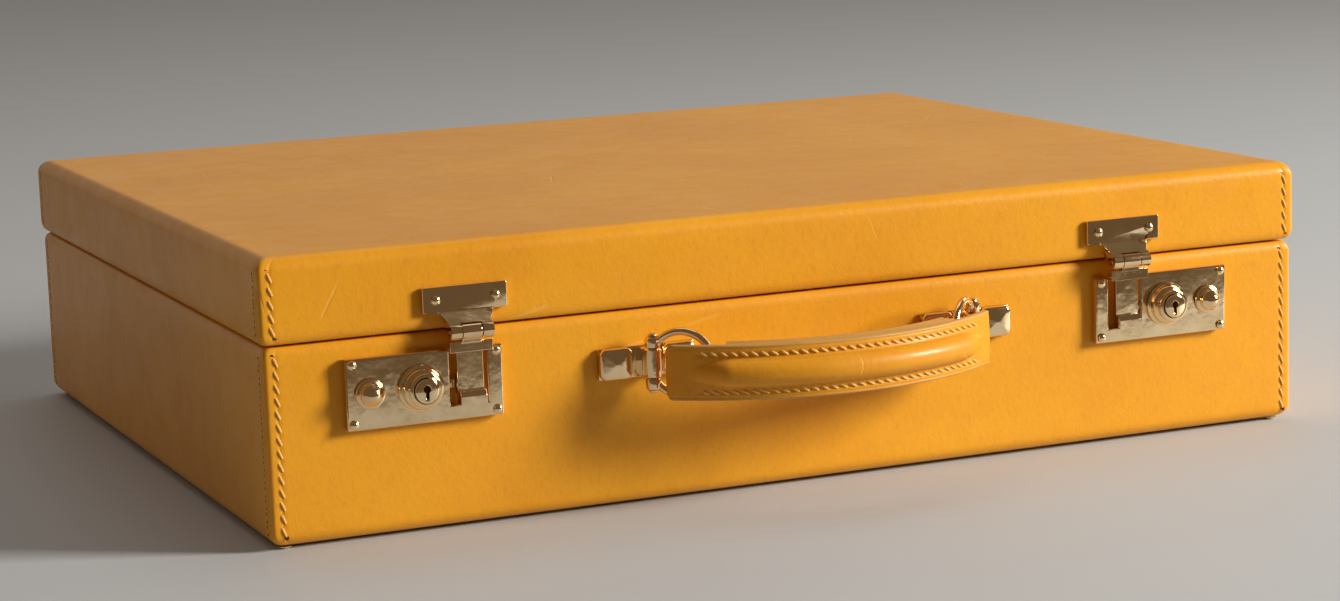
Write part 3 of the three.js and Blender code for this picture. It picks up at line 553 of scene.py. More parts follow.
def stitch_row(mesher, start, end, outward, slant, pitch, length, radius, lift=0.6):
    """A straight row of stitches; each leans by `slant` degrees from the row's line."""
    run = end - start
    count = max(1, round(run.length / pitch))
    line = run.normalized()
    lean = Matrix.Rotation(math.radians(slant), 3, outward) @ line
    for i in range(count):
        wobble = noise.noise(Vector((start.x * 90 + i * 1.7, start.y * 90, start.z * 90 + i))) * 0.00012
        centre = start + run * ((i + 0.5) / count) + outward.cross(line) * wobble
        add_stitch(mesher, centre, lean, outward, length, radius, lift)


# ---------------- leather shells

CORNER_ROUND = 1.7 * MM          # upright corner edges
EDGE_ROUND = 5.0 * MM            # lid's top edges and base's bottom edges
RIM_ACROSS = 2.3 * MM            # rolled rim: inset
RIM_ALONG = 3.8 * MM             # rolled rim: height over which it rolls
HIDE_THICK = 2.5 * MM
WALL = 9.3 * MM                  # leather, board and lining together
RIM_LEATHER = 2.2 * MM
SEAM_PLACE = 2.6 * MM            # butt seam on the end walls, from the front and back faces
SEAM_DEPTH = 0.45 * MM
STITCH_INSET = 4.2 * MM
STITCH_TRENCH = 0.22 * MM
END_STITCH_INSET = 5.2 * MM
CORNER_PITCH = 4.5 * MM
WAVE = 0.16 * MM                 # gentle unevenness of the hide


def outline_spots(half_x, half_y):
    """Points round a wall, as (x, y, normal x, normal y, groove depth), anticlockwise from the front left."""
    near = [1.7, 2.25, 2.6, 2.95, 3.5, 3.85, 4.2, 4.55, 5.0, 6.2, 8.0, 11.0]   # mm from a corner
    step = 6.0                                                                # mm in between
    spots = []
    faces = [((0, -1), (1, 0), half_x, half_y, True), ((1, 0), (0, 1), half_y, half_x, False),
             ((0, 1), (-1, 0), half_x, half_y, True), ((-1, 0), (0, -1), half_y, half_x, False)]
    for (nx, ny), (ax, ay), half_run, half_out, has_stitches in faces:
        start = [-half_run + d * MM for d in near]
        inner = 2 * (half_run - near[-1] * MM)
        count = int(inner / (step * MM))
        middle = [-half_run + near[-1] * MM + inner * i / count for i in range(1, count)]
        for along in start + middle + [-a for a in reversed(start)]:
            distance = half_run - abs(along)
            depth = 0.0
            if has_stitches:
                depth = STITCH_TRENCH * max(0.0, 1 - abs(distance - STITCH_INSET) / (0.7 * MM))
            elif abs(distance - SEAM_PLACE) < 0.1 * MM:
                depth = SEAM_DEPTH
            spots.append((nx * half_out + ax * along, ny * half_out + ay * along, nx, ny, depth))
        corner_x = (half_run - CORNER_ROUND) * ax + (half_out - CORNER_ROUND) * nx
        corner_y = (half_run - CORNER_ROUND) * ay + (half_out - CORNER_ROUND) * ny
        for k in range(1, 6):
            angle = math.pi / 2 * k / 6
            dx = nx * math.cos(angle) + ax * math.sin(angle)
            dy = ny * math.cos(angle) + ay * math.sin(angle)
            spots.append((corner_x + dx * CORNER_ROUND, corner_y + dy * CORNER_ROUND, dx, dy, 0.0))
    return spots


def wave(x, y, z):
    spot = Vector((x * 14, y * 14, z * 14))
    return WAVE * (noise.noise(spot) + 0.4 * noise.noise(spot * 3.1))


def shell_ring(mesher, spots, half_x, half_y, inset, z, relief):
    """A ring of the wall pulled in by `inset`; relief scales grooves and unevenness."""
    ring = []
    for x, y, nx, ny, groove in spots:
        scale_x = (half_x - inset) / half_x
        scale_y = (half_y - inset) / half_y
        push = (wave(x, y, z) * 0.6 - groove) * relief
        ring.append(Vector((x * scale_x + nx * push, case_y + y * scale_y + ny * push, z)))
    return mesher.ring(ring)


def leather_shell(name, low, high, rim_up):
    """The skin of the base (rim up) or of the lid (rim down): a closed shell with rolled rims."""
    half_x = (high.x - low.x) / 2
    half_y = (high.y - low.y) / 2
    up = 1 if rim_up else -1
    back_z = low.z if rim_up else high.z          # the flat outer side: bottom of the base, top of the lid
    rim_z = high.z if rim_up else low.z
    spots = outline_spots(half_x, half_y)
    mesher = Mesher()

    def cap(z, inset, sign, wavy):
        """Rings from the middle of the flat side out to its edge."""
        shares = [0.02, 0.08, 0.16, 0.26, 0.36, 0.46, 0.55, 0.64, 0.72, 0.79, 0.85, 0.90, 0.94, 0.97,
                  0.99, 1.0]
        rings = []
        for share in shares:
            edge_x = (half_x - inset) * share
            edge_y = (half_y - inset) * share
            ring = []
            for x, y, _, _, _ in spots:
                px, py = x / half_x * edge_x, y / half_y * edge_y
                lift = wave(px * 0.8, py * 0.8, z) * (1 - share ** 8) * wavy
                ring.append(Vector((px, case_y + py, z + sign * lift)))
            rings.append(mesher.ring(ring))
        mesher.fan(rings[0], Vector((0, case_y, z + sign * wave(0, 0, z) * wavy)))
        return rings

    def wall_ring(inset, z, relief):
        rings.append(shell_ring(mesher, spots, half_x, half_y, inset, z, relief))

    rings = cap(back_z, EDGE_ROUND, -up, 1.4)
    for k in range(1, 9):
        angle = math.pi / 2 * k / 8
        inset = EDGE_ROUND * (1 - math.sin(angle))
        z = back_z + up * EDGE_ROUND * (1 - math.cos(angle))
        wall_ring(inset, z, k / 8)
    wall_start = back_z + up * EDGE_ROUND
    wall_end = rim_z - up * RIM_ALONG
    wall_steps = max(2, round(abs(wall_end - wall_start) / (4.5 * MM)))
    for k in range(1, wall_steps + 1):
        z = wall_start + (wall_end - wall_start) * k / wall_steps
        wall_ring(0, z, 1)
    for k in range(1, 8):
        angle = math.pi / 2 * k / 7
        inset = RIM_ACROSS * (1 - math.cos(angle))
        z = wall_end + up * RIM_ALONG * math.sin(angle)
        wall_ring(inset, z, max(0.0, 1 - k / 5))
    inner_round = 1.2 * MM
    for k in range(0, 5):
        angle = math.pi / 2 * k / 4
        inset = WALL - inner_round * (1 - math.sin(angle))
        z = rim_z - up * inner_round * (1 - math.cos(angle))
        wall_ring(inset, z, 0)
    for inset, z in ((WALL, rim_z - up * RIM_LEATHER), (HIDE_THICK, rim_z - up * RIM_LEATHER),
                     (HIDE_THICK, back_z + up * HIDE_THICK)):
        wall_ring(inset, z, 0)
    mesher.skin(rings)
    mesher.fan(rings[-1], Vector((0, case_y, back_z + up * HIDE_THICK)))
    return mesher.make(name, HIDE, sharp=60)


def build_shells():
    for name, node, low, high, rim_up in (
            ("base_leather", "base_leather_cover", base_low, base_high, True),
            ("lid_leather", "lid_leather_cover", lid_low, lid_high, False)):
        settle(leather_shell(name, low, high, rim_up), node)


def build_corner_stitching():
    """Rows beside every upright corner: full stitches on the front and back, short ones on the ends."""
    for name, body, low, high in (("base_stitching", "base", base_low, base_high),
                                  ("lid_stitching", "lid", lid_low, lid_high)):
        mesher = Mesher()
        foot = low.z + (3.2 * MM if body == "base" else 2.6 * MM)
        head = high.z - (2.6 * MM if body == "base" else 4.2 * MM)
        for side in (-1, 1):
            x = side * (high.x - STITCH_INSET)
            for outward, y in ((Vector((0, -1, 0)), low.y), (Vector((0, 1, 0)), high.y)):
                surface = y - outward.y * (STITCH_TRENCH * 0.8)
                stitch_row(mesher, Vector((x, surface, foot)), Vector((x, surface, head)), outward,
                           24, CORNER_PITCH, 4.3 * MM, 0.42 * MM, 0.75)
            for end in (-1, 1):
                y = (low.y if end < 0 else high.y) - end * END_STITCH_INSET
                stitch_row(mesher, Vector((side * high.x, y, foot)), Vector((side * high.x, y, head)),
                           Vector((side, 0, 0)), 8, CORNER_PITCH, 2.4 * MM, 0.26 * MM, 0.2)
        piece = mesher.make(name, THREAD, HOLE_SHADE)
        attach(piece, body)


# ---------------- nails, feet and turned brass


OUT = Vector((0, -1, 0))
NAIL_HEAD_HEIGHT = 1.1
NAIL_HEAD = 1.6
NAIL_SHANK = 0.68
NAIL_RIM = 0.12


def build_nails():
    for node in frame["nodes"]:
        if "_nail_" not in node:
            continue
        low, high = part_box(node)
        centre = middle_of(node)
        centre.y = low.y + NAIL_HEAD_HEIGHT * MM
        depth = (high.y - low.y) / MM - NAIL_HEAD_HEIGHT
        profile = [(0, -depth), (0.6, -depth), (NAIL_SHANK, -depth + 0.3), (NAIL_SHANK, 0)]
        profile += [(NAIL_HEAD - 0.1, 0), (NAIL_HEAD, NAIL_RIM)]
        profile += dome_profile(NAIL_HEAD, NAIL_HEAD_HEIGHT - NAIL_RIM, NAIL_RIM)[1:]
        settle(turned(node + "_head", profile, centre, OUT, NAIL_BRASS, steps=28), node)


def build_feet():
    for node in frame["nodes"]:
        if not node.startswith("foot_"):
            continue
        low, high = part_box(node)
        centre = middle_of(node)
        centre.z = high.z
        height = (high.z - low.z) / MM
        radius = (high.x - low.x) / 2 / MM
        profile = [(0, 0)] + dome_profile(radius, height)
        settle(turned(node + "_stud", profile, centre, (0, 0, -1), NAIL_BRASS, steps=36), node)


def build_locks():
    for side_name, side in SIDES.items():
        eased_copy(f"lock_plate_{side_name}", BRASS, 0.5 * MM, 3, SHORT_EDGE)
        build_key_barrel(side_name)
        build_key_plug(side_name)
        build_knob(side_name, side)


def build_key_barrel(side_name):
    """A stepped collar: flange, rounded shoulder, waist and rim, with the plug's recess in the middle."""
    node = f"lock_barrel_{side_name}"
    centre = middle_of(node)
    centre.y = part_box(node)[1].y
    profile = [(0, 0), (7.8, 0), (8.0, 0.2), (8.0, 1.0), (7.8, 1.25), (7.2, 1.35), (7.05, 1.6)]
    profile += arc((5.3, 1.9), 1.7, 0, 75, 6)
    profile += [(5.75, 3.75), (5.85, 4.2)]
    profile += arc((5.2, 5.55), 0.65, 0, 90, 5)
    profile += [(4.75, 6.2), (4.5, 6.0), (4.5, 2.2), (0, 2.2)]
    settle(turned(f"key_barrel_{side_name}", profile, centre, OUT, BRASS, steps=64), node)


def build_key_plug(side_name):
    """The turning plug, with a key hole: a round hole that runs into a slot."""
    node = f"key_plug_{side_name}"
    low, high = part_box(node)
    centre = middle_of(node)
    radius = (high.x - low.x) / 2
    hole_radius = 1.25 * MM
    slot_half = 0.55 * MM
    slot_foot = -2.6 * MM
    hole_lift = 0.7 * MM
    hole_depth = 2.2 * MM

    def keyhole(angle):
        """Distance from the plug's centre to the keyhole's rim at an angle from +X."""
        dx, dz = math.cos(angle), math.sin(angle)
        reach = hole_lift * dz + math.sqrt(max(hole_radius ** 2 - (hole_lift * dx) ** 2, 0))
        if dz < -0.2:
            reach = max(reach, min(slot_half / max(abs(dx), 1e-6), slot_foot / dz))
        return reach

    def plug_ring(reach, y):
        return mesher.ring([Vector((centre.x + reach(a) * math.cos(a), y, centre.z + reach(a) * math.sin(a)))
                            for a in turns(56)])

    mesher = Mesher()
    rings = [plug_ring(lambda a: radius, high.y)]
    for share, depth in ((1.0, 0.35), (0.985, 0.12), (0.93, 0.0)):
        rings.append(plug_ring(lambda a: radius * share, low.y + depth * MM))
    for share, depth in ((1.12, 0.0), (1.0, 0.18 * MM), (1.0, hole_depth)):
        rings.append(plug_ring(lambda a: keyhole(a) * share, low.y + depth))
    mesher.skin(rings)
    mesher.fan(rings[0], Vector((centre.x, high.y, centre.z)))
    # The keyhole's bottom carries painted shade.
    mesher.fan(rings[-1], Vector((centre.x, low.y + hole_depth, centre.z)), 1)
    settle(mesher.make(f"{node}_keyed", BRASS, HOLE_SHADE), node)


KNOB_RADIUS = 5.2
STEM_RADIUS = 1.5
BOLT_THICK = 1.0 * MM
BOLT_HALF = 1.4 * MM             # half of the bolt's height


def build_knob(side_name, side):
    """Sliding knob with a stepped neck, and the flat bolt behind the plate."""
    node = f"lock_knob_{side_name}"
    low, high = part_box(node)
    plate_low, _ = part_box(f"lock_plate_{side_name}")
    outer_x = low.x if side < 0 else high.x
    x = outer_x - side * KNOB_RADIUS * MM
    z = middle_of(node).z
    foot_y = plate_low.y - 0.3 * MM
    height = (foot_y - low.y) / MM
    profile = [(0, 0), (4.9, 0), (5.2, 0.25), (5.2, 0.75), (5.0, 1.05), (4.3, 1.3)]
    profile += [(3.95, 1.55), (3.9, 2.0)]
    profile += arc((2.6, 2.6), 1.25, -20, 50, 5)
    profile += dome_profile(3.1, height - 3.3, 3.3)[2:]
    head = turned(f"bolt_knob_{side_name}", profile, Vector((x, foot_y, z)), OUT, BRASS, steps=56)
    tip_x = low.x if side > 0 else high.x
    bolt_low = Vector((min(x, tip_x), high.y - BOLT_THICK, z - BOLT_HALF))
    bolt_high = Vector((max(x, tip_x), high.y, z + BOLT_HALF))
    stem_height = (high.y - foot_y) / MM + 0.3
    stem = [(0, 0), (STEM_RADIUS, 0), (STEM_RADIUS, stem_height), (0, stem_height)]
    stem_piece = turned("stem", stem, Vector((x, high.y, z)), OUT, BRASS, steps=24)
    bolt_piece = rounded_box("bolt", bolt_low, bolt_high, 0.2 * MM, BRASS)
    settle(join_pieces(head, stem_piece, bolt_piece), node)


def rounded_box(name, low, high, radius, material, segments=3):
    work = bmesh.new()
    bmesh.ops.create_cube(work, size=1)
    size = Vector(high) - Vector(low)
    bmesh.ops.scale(work, vec=size, verts=work.verts)
    bmesh.ops.translate(work, vec=(Vector(high) + Vector(low)) / 2, verts=work.verts)
    bmesh.ops.bevel(work, geom=list(work.edges), offset=radius, segments=segments, affect="EDGES",
                    profile=0.5)
    mesh = bpy.data.meshes.new(name)
    work.to_mesh(mesh)
    work.free()
    mesh.materials.append(material)
    return finish_mesh(name, mesh, 35)


def join_pieces(first, *others):
    """One piece with the name of the first."""
    bpy.ops.object.select_all(action="DESELECT")
    for piece in (first, *others):
        piece.select_set(True)
    bpy.context.view_layer.objects.active = first
    bpy.ops.object.join()
    return first


def build_hasps():
    for side_name in SIDES:
        eased_copy(f"hasp_{side_name}", BRASS, 0.35 * MM, 3)
        eased_copy(f"hasp_strike_{side_name}", BRASS, 0.5 * MM, 3, SHORT_EDGE)
        build_hinge_pin(f"hasp_pin_{side_name}", 0.15)


# ---------------- handle

STRAP_BOW = 23 * MM
STRAP_FACE = 3.5 * MM
RIB_RISE = 4.5 * MM
RIB_HALF = 4.9 * MM
RIB_END = 8.0 * MM               # from the strap's ends
RIB_TAPER = 15 * MM
STRAP_EDGE = 0.9 * MM
STRAP_STITCH_ROW = 6.5 * MM
STRAP_STITCH_END = 12 * MM
STRAP_CREASE = 8.35 * MM
STITCH_PITCH = 3.4 * MM
STITCH_LEAN = -28                # degrees from the strap's length
STRAP_SAMPLES = 58               # across the face
STRAP_STATIONS = 150             # along the strap
FITTING_HEIGHT = 11.0 * MM
FITTING_PLATE = 1.5 * MM
BLOCK_HALF = 6.0 * MM            # half of a cushion block's width
BLOCK_HEIGHT = 4.5 * MM
BLOCK_CORNER = 2.4 * MM
POST_RADIUS = 2.9 * MM
POST_HEIGHT = 10.0 * MM
BACKING_THICK = 6.8 * MM
BACKING_LAYERS = 3
LAYER_GAP = 0.02 * MM
TONGUE_THICK = 2.2 * MM
TONGUE_HALF = 4.0 * MM           # half of the tongue's height

strap_low, strap_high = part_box("handle_strap")
strap_x = (strap_low.x + strap_high.x) / 2
strap_z = (strap_low.z + strap_high.z) / 2
strap_half = (strap_high.x - strap_low.x) / 2
strap_half_height = (strap_high.z - strap_low.z) / 2
strap_radius = (strap_half ** 2 + STRAP_BOW ** 2) / (2 * STRAP_BOW)
strap_angle = math.asin(strap_half / strap_radius)
bow_y = strap_low.y + RIB_RISE + strap_radius


def bow_point(radius, angle, height):
    return Vector((strap_x + radius * math.sin(angle), bow_y - radius * math.cos(angle), strap_z + height))


def smooth_step(value):
    t = min(max(value, 0.0), 1.0)
    return t * t * (3 - 2 * t)


def strap_relief(height, from_end):
    """How far the strap's face stands out from its flat at a height, `from_end` along from the nearer end."""
    grown = smooth_step((from_end - RIB_END) / RIB_TAPER)
    half = RIB_HALF * (0.45 + 0.55 * grown)
    u = min(abs(height) / half, 1.0)
    rib = RIB_RISE * grown * (1 - u ** 2.3) ** 0.62
    stitched = smooth_step((from_end - STRAP_STITCH_END + 3 * MM) / (5 * MM))
    valley = 0.30 * MM * stitched * math.exp(-((abs(height) - STRAP_STITCH_ROW) / (0.75 * MM)) ** 2)
    crease = 0.22 * MM * math.exp(-((abs(height) - STRAP_CREASE) / (0.22 * MM)) ** 2)
    crown = 0.25 * MM * (1 - (height / strap_half_height) ** 2)
    return rib - valley - crease + crown - 0.25 * MM


def build_strap():
    flat_half = strap_half_height - STRAP_EDGE
    heights = [-flat_half + 2 * flat_half * i / STRAP_SAMPLES for i in range(STRAP_SAMPLES + 1)]
    mesher = Mesher()
    rings = []
    end_round = 2.2 * MM
    total = strap_angle * strap_radius
    for i in range(STRAP_STATIONS + 1):
        angle = -strap_angle + 2 * strap_angle * i / STRAP_STATIONS
        from_end = total - abs(angle) * strap_radius
        narrow = end_round - math.sqrt(max(end_round ** 2 - max(end_round - from_end, 0) ** 2, 0))
        squeeze = (strap_half_height - narrow) / strap_half_height
        ends = min(1.0, 0.72 + 0.28 * smooth_step(from_end / (2 * MM)))
        face = []
        slots = []
        for height in heights:
            radius = strap_radius + strap_relief(height, from_end) * smooth_step(from_end / (1.5 * MM))
            face.append(bow_point(radius - (1 - ends) * STRAP_FACE, angle, height * squeeze))
            slots.append(0)
        back_radius = strap_radius - STRAP_FACE
        thick = STRAP_FACE - (1 - ends) * STRAP_FACE
        for up in (1, -1):
            for k in range(1, 6):
                bend = math.pi * k / 6
                face.append(bow_point(back_radius + thick / 2 * (1 + up * math.cos(bend)), angle,
                                      up * (flat_half + STRAP_EDGE * math.sin(bend)) * squeeze))
                slots.append(1)
            if up == 1:
                for height in (flat_half, flat_half / 2, 0, -flat_half / 2, -flat_half):
                    face.append(bow_point(back_radius, angle, height * squeeze))
                    slots.append(0)
        rings.append(mesher.ring(face))
    slots[len(heights) - 1] = 1
    mesher.skin(rings, slots)
    for ring, angle in ((rings[0], -strap_angle), (rings[-1], strap_angle)):
        mesher.fan(ring, bow_point(strap_radius - STRAP_FACE / 2, angle, 0), 1)
    settle(mesher.make("strap_face", HANDLE_HIDE, EDGE_AND_SHEEN, sharp=70), "handle_strap")


def build_strap_stitching():
    mesher = Mesher()
    reach = strap_angle - STRAP_STITCH_END / strap_radius
    count = round(2 * reach * strap_radius / STITCH_PITCH)
    for row in (-1, 1):
        height = row * STRAP_STITCH_ROW
        for i in range(count):
            angle = -reach + 2 * reach * (i + 0.5) / count
            from_end = (strap_angle - abs(angle)) * strap_radius
            surface = strap_radius + strap_relief(height, from_end)
            outward = Vector((math.sin(angle), -math.cos(angle), 0))
            line = Vector((math.cos(angle), math.sin(angle), 0))
            lean = Matrix.Rotation(math.radians(STITCH_LEAN), 3, outward) @ line
            spot = bow_point(surface, angle, height)
            add_stitch(mesher, spot, lean, outward, 3.5 * MM, 0.42 * MM, 0.8, 1.1)
    piece = mesher.make("strap_stitching", THREAD, HOLE_SHADE)
    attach(piece, "handle")


def rounded_outline(half_x, half_z, corner, steps=6):
    """Points of a rounded rectangle, as (across, up)."""
    points = []
    for sign_x, sign_z, start in ((1, 1, 0), (-1, 1, 90), (-1, -1, 180), (1, -1, 270)):
        for k in range(steps + 1):
            turn = math.radians(start + 90 * k / steps)
            points.append((sign_x * (half_x - corner) + corner * math.cos(turn),
                           sign_z * (half_z - corner) + corner * math.sin(turn)))
    return points


def bowed_slab(mesher, inner, outer, angle0, angle1, half_height, edge, steps, edge_slot=0, lift=0.0):
    """A band round the bow's centre with rounded long edges, `lift` above the strap's middle."""
    rings = []
    middle = (inner + outer) / 2
    half = (outer - inner) / 2
    for i in range(steps + 1):
        angle = angle0 + (angle1 - angle0) * i / steps
        rings.append(mesher.ring([bow_point(middle + across, angle, lift + up)
                                  for across, up in rounded_outline(half, half_height, edge, 4)]))
    slots = [edge_slot if k % 5 < 4 or k in (4, 14) else 0 for k in range(20)]
    mesher.skin(rings, slots)
    mesher.fan(rings[0], bow_point(middle, angle0, lift), edge_slot)
    mesher.fan(rings[-1], bow_point(middle, angle1, lift), edge_slot)


def build_backing():
    """Back layer of the strap between the rings, with the tongues that hold them."""
    node = "handle_backing"
    low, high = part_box(node)
    outer = strap_radius - STRAP_FACE - 0.3 * MM
    inner = outer - BACKING_THICK
    fill_half = (high.z - low.z) / 2
    corners = [v.co for v in frame["nodes"][node].data.vertices]
    fill_angle = max(math.atan2(p.x - strap_x, bow_y - p.y) for p in corners if p.z > high.z - 0.1 * MM)
    fold_angle = max(math.atan2(p.x - strap_x, bow_y - p.y) for p in corners)
    lift = middle_of("handle_ring_left").z - strap_z
    mesher = Mesher()
    layer = BACKING_THICK / BACKING_LAYERS
    for i in range(BACKING_LAYERS):
        layer_back = inner + i * layer
        bowed_slab(mesher, layer_back + LAYER_GAP, layer_back + layer - LAYER_GAP, -fill_angle, fill_angle,
                   fill_half, 0.7 * MM, 60, 1)
    for side in (-1, 1):
        bowed_slab(mesher, inner, inner + TONGUE_THICK, side * (fill_angle - 0.01), side * fold_angle,
                   TONGUE_HALF, 0.5 * MM, 12, 1, lift)
        fold_start = fold_angle - TONGUE_THICK / strap_radius
        bowed_slab(mesher, inner + 0.1 * MM, outer - 0.1 * MM, side * fold_start, side * fold_angle,
                   TONGUE_HALF - 0.1 * MM, 0.5 * MM, 3, 1, lift)
    settle(mesher.make("strap_backing", HANDLE_HIDE, EDGE_AND_SHEEN, sharp=50), node)


def add_cushion_block(mesher, x, z, foot_y, half_x, half_z, height):
    """A block with rounded corners, an eased rim and a softly domed face that looks along -Y."""
    rim = 1.3 * MM
    dome = 0.55 * MM
    layers = [(0.0, 0.0), (0.0, height - dome - rim)]
    for k in range(1, 6):
        angle = math.pi / 2 * k / 6
        layers.append((rim * (1 - math.cos(angle)), height - dome - rim * (1 - math.sin(angle))))
    for share in (0.0, 0.2, 0.4, 0.6, 0.8):
        layers.append((rim + (half_x - rim) * share, height - dome * (1 - share) ** 2))
    rings = []
    for inset, out in layers:
        outline = rounded_outline(half_x - inset, half_z - inset, max(BLOCK_CORNER - inset, 0.4 * MM))
        rings.append(mesher.ring([Vector((x + u, foot_y - out, z + v)) for u, v in outline]))
    mesher.skin(rings)
    mesher.fan(rings[0], Vector((x, foot_y, z)))
    mesher.fan(rings[-1], Vector((x, foot_y - height, z)))


def build_handle_fittings():
    """A nailed plate with a cushion-shaped block at each end and the swivel post between them."""
    for side_name in SIDES:
        node = f"handle_fitting_{side_name}"
        low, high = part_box(node)
        x, _, z = middle_of(node)
        half_z = FITTING_HEIGHT / 2
        post_y = middle_of(f"handle_pin_{side_name}").y
        plate = rounded_box(f"{node}_cast", Vector((low.x, high.y - FITTING_PLATE, z - half_z)),
                            Vector((high.x, high.y, z + half_z)), 0.4 * MM, BRASS)
        blocks = Mesher()
        for end in (-1, 1):
            block_x = x + end * ((high.x - low.x) / 2 - BLOCK_HALF)
            add_cushion_block(blocks, block_x, z, high.y - FITTING_PLATE / 2, BLOCK_HALF, half_z,
                              BLOCK_HEIGHT - FITTING_PLATE / 2)
        web_half = POST_HEIGHT / 2 - 0.1 * MM
        web = rounded_box("web", Vector((x - POST_RADIUS, post_y + 2 * MM, z - web_half)),
                          Vector((x + POST_RADIUS, high.y, z + web_half)), 0.25 * MM, BRASS)
        post_height = POST_HEIGHT / MM
        radius = POST_RADIUS / MM
        profile = [(1.5, 0), (radius - 0.4, 0), (radius, 0.4), (radius, post_height - 0.4),
                   (radius - 0.4, post_height), (1.5, post_height)]
        post = turned_ring("post", profile, Vector((x, post_y, z - POST_HEIGHT / 2)), (0, 0, 1), BRASS, 40)
        settle(join_pieces(plate, blocks.make("blocks", BRASS), web, post), node)
        build_swivel(side_name)


CAP_HEIGHT = 1.1 * MM
EYE_GAP = 0.3 * MM               # between a ring's eye and the pin's cap


def build_swivel(side_name):
    """Swivel pin with domed caps, and the ring that turns on it."""
    node = f"handle_pin_{side_name}"
    low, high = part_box(node)
    pivot = middle_of(node)
    half = (high.z - low.z) / 2 / MM
    cap = [(0, half), (0.9, half - 0.08), (1.6, half - 0.45), (1.9, half - 1.0), (1.9, half - 1.1),
           (1.2, half - 1.1)]
    profile = [(r, -h) for r, h in cap] + [(r, h) for r, h in reversed(cap)]
    settle(turned(node + "_rod", profile, pivot, (0, 0, 1), BRASS, steps=32), node)

    node = f"handle_ring_{side_name}"
    points = [v.co - pivot for v in frame["nodes"][node].data.vertices]
    reach = max(math.hypot(p.x, p.y) for p in points)
    far = [p for p in points if math.hypot(p.x, p.y) > 0.97 * reach]
    level = Vector((sum(p.x for p in far), sum(p.y for p in far), 0)).normalized()
    wire_radius = 1.35 * MM
    ring_radius = 11.15 * MM
    centre_out = reach - wire_radius - ring_radius
    eye_height = 3.8 * MM
    eye_top = half * MM - CAP_HEIGHT - EYE_GAP
    open_angle = math.pi - math.asin((eye_top - eye_height / 2) / ring_radius)
    steps = 64
    path = []
    for i in range(steps + 1):
        angle = open_angle * (1 - 2 * i / steps)
        path.append(pivot + level * (centre_out + ring_radius * math.cos(angle))
                    + Vector((0, 0, ring_radius * math.sin(angle))))
    mesher = Mesher()
    wire(mesher, path, wire_radius, sides=18)
    ring = mesher.make(f"swivel_ring_{side_name}", BRASS)
    eyes = []
    for end in (-1, 1):
        profile = [(1.55, 0.0), (2.3, 0.0), (2.65, 0.3), (2.8, 1.0), (2.8, 2.8), (2.65, 3.5), (2.3, 3.8),
                   (1.55, 3.8)]
        foot = pivot + Vector((0, 0, eye_top - eye_height if end > 0 else -eye_top))
        eyes.append(turned_ring("eye", profile, foot, (0, 0, 1), BRASS, 40))
    settle(join_pieces(ring, *eyes), node)


# ---------------- rear hinges


def build_rear_hinges():
    for side_name in SIDES:
        for leaf in ("base", "lid"):
            eased_copy(f"rear_hinge_{leaf}_leaf_{side_name}", SATIN_BRASS, 0.25 * MM, 2)
        build_hinge_pin(f"rear_hinge_pin_{side_name}", 0.2)


# ---------------- inside


def build_inside():
    eased_copy("base_dust_lip", SUEDE, 0.7 * MM, 3)
    eased_copy("base_lining", SUEDE, 0.5 * MM, 2)
    eased_copy("lid_lining", SUEDE, 0.5 * MM, 2)
    eased_copy("tray", SUEDE, 0.8 * MM, 3)
    for side_name in SIDES:
        eased_copy(f"tray_tab_{side_name}", TAB_HIDE, 0.5 * MM, 3)
    for node in ("base_carcass", "lid_carcass"):
        body = frame["nodes"][node]
        body.data.materials.clear()
        body.data.materials.append(WOOD)


def simulate_padding(piece, voxel, pressure, cap, frames=20):
    """Inflates a closed mesh like stuffed cloth. No point moves further than `cap`."""
    remesh = piece.modifiers.new("remesh", "REMESH")
    remesh.mode = "VOXEL"
    remesh.voxel_size = voxel
    apply_modifiers(piece)
    rest = [v.co.copy() for v in piece.data.vertices]
    cloth = piece.modifiers.new("cloth", "CLOTH")
    cloth.settings.use_pressure = True
    cloth.settings.uniform_pressure_force = pressure
    cloth.settings.effector_weights.gravity = 0
    cloth.point_cache.frame_start = 1
    cloth.point_cache.frame_end = frames
    for step in range(1, frames + 1):
        SCENE.frame_set(step)
    apply_modifiers(piece)
    SCENE.frame_set(1)
    for vertex, start in zip(piece.data.vertices, rest):
        moved = vertex.co - start
        if moved.length > cap:
            vertex.co = start + moved * (cap / moved.length)


def subdivide(piece, levels=1):
    smooth = piece.modifiers.new("smooth", "SUBSURF")
    smooth.levels = levels
    smooth.render_levels = levels
    apply_modifiers(piece)
    piece.data.shade_smooth()


def build_ring_rolls():
    """Each ring cushion is a row of stuffed rolls that grip the rings between them."""
    rolls = 4
    swell = 1.3 * MM
    first_low, first_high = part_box("ring_roll_1")
    pitch = (first_high.y - first_low.y) / rolls
    pattern = rounded_box("roll_pattern", first_low + Vector((swell, swell, 0.3 * MM)),
                          Vector((first_high.x - swell, first_low.y + pitch - swell, first_high.z - swell)),
                          6.5 * MM, VELVET, 4)
    simulate_padding(pattern, 2.6 * MM, 3.0, swell)
    subdivide(pattern)
    for number in (1, 2, 3):
        node = f"ring_roll_{number}"
        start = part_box(node)[0].y - first_low.y
        pieces = []
        for i in range(rolls):
            mesh = pattern.data.copy()
            mesh.transform(Matrix.Translation((0, start + i * pitch, 0)))
            mesh.materials.clear()
            mesh.materials.append(VELVET)
            piece = bpy.data.objects.new(f"{node}_cushion", mesh)
            SCENE.collection.objects.link(piece)
            pieces.append(piece)
        settle(join_pieces(*pieces), node)
    bpy.data.objects.remove(pattern)


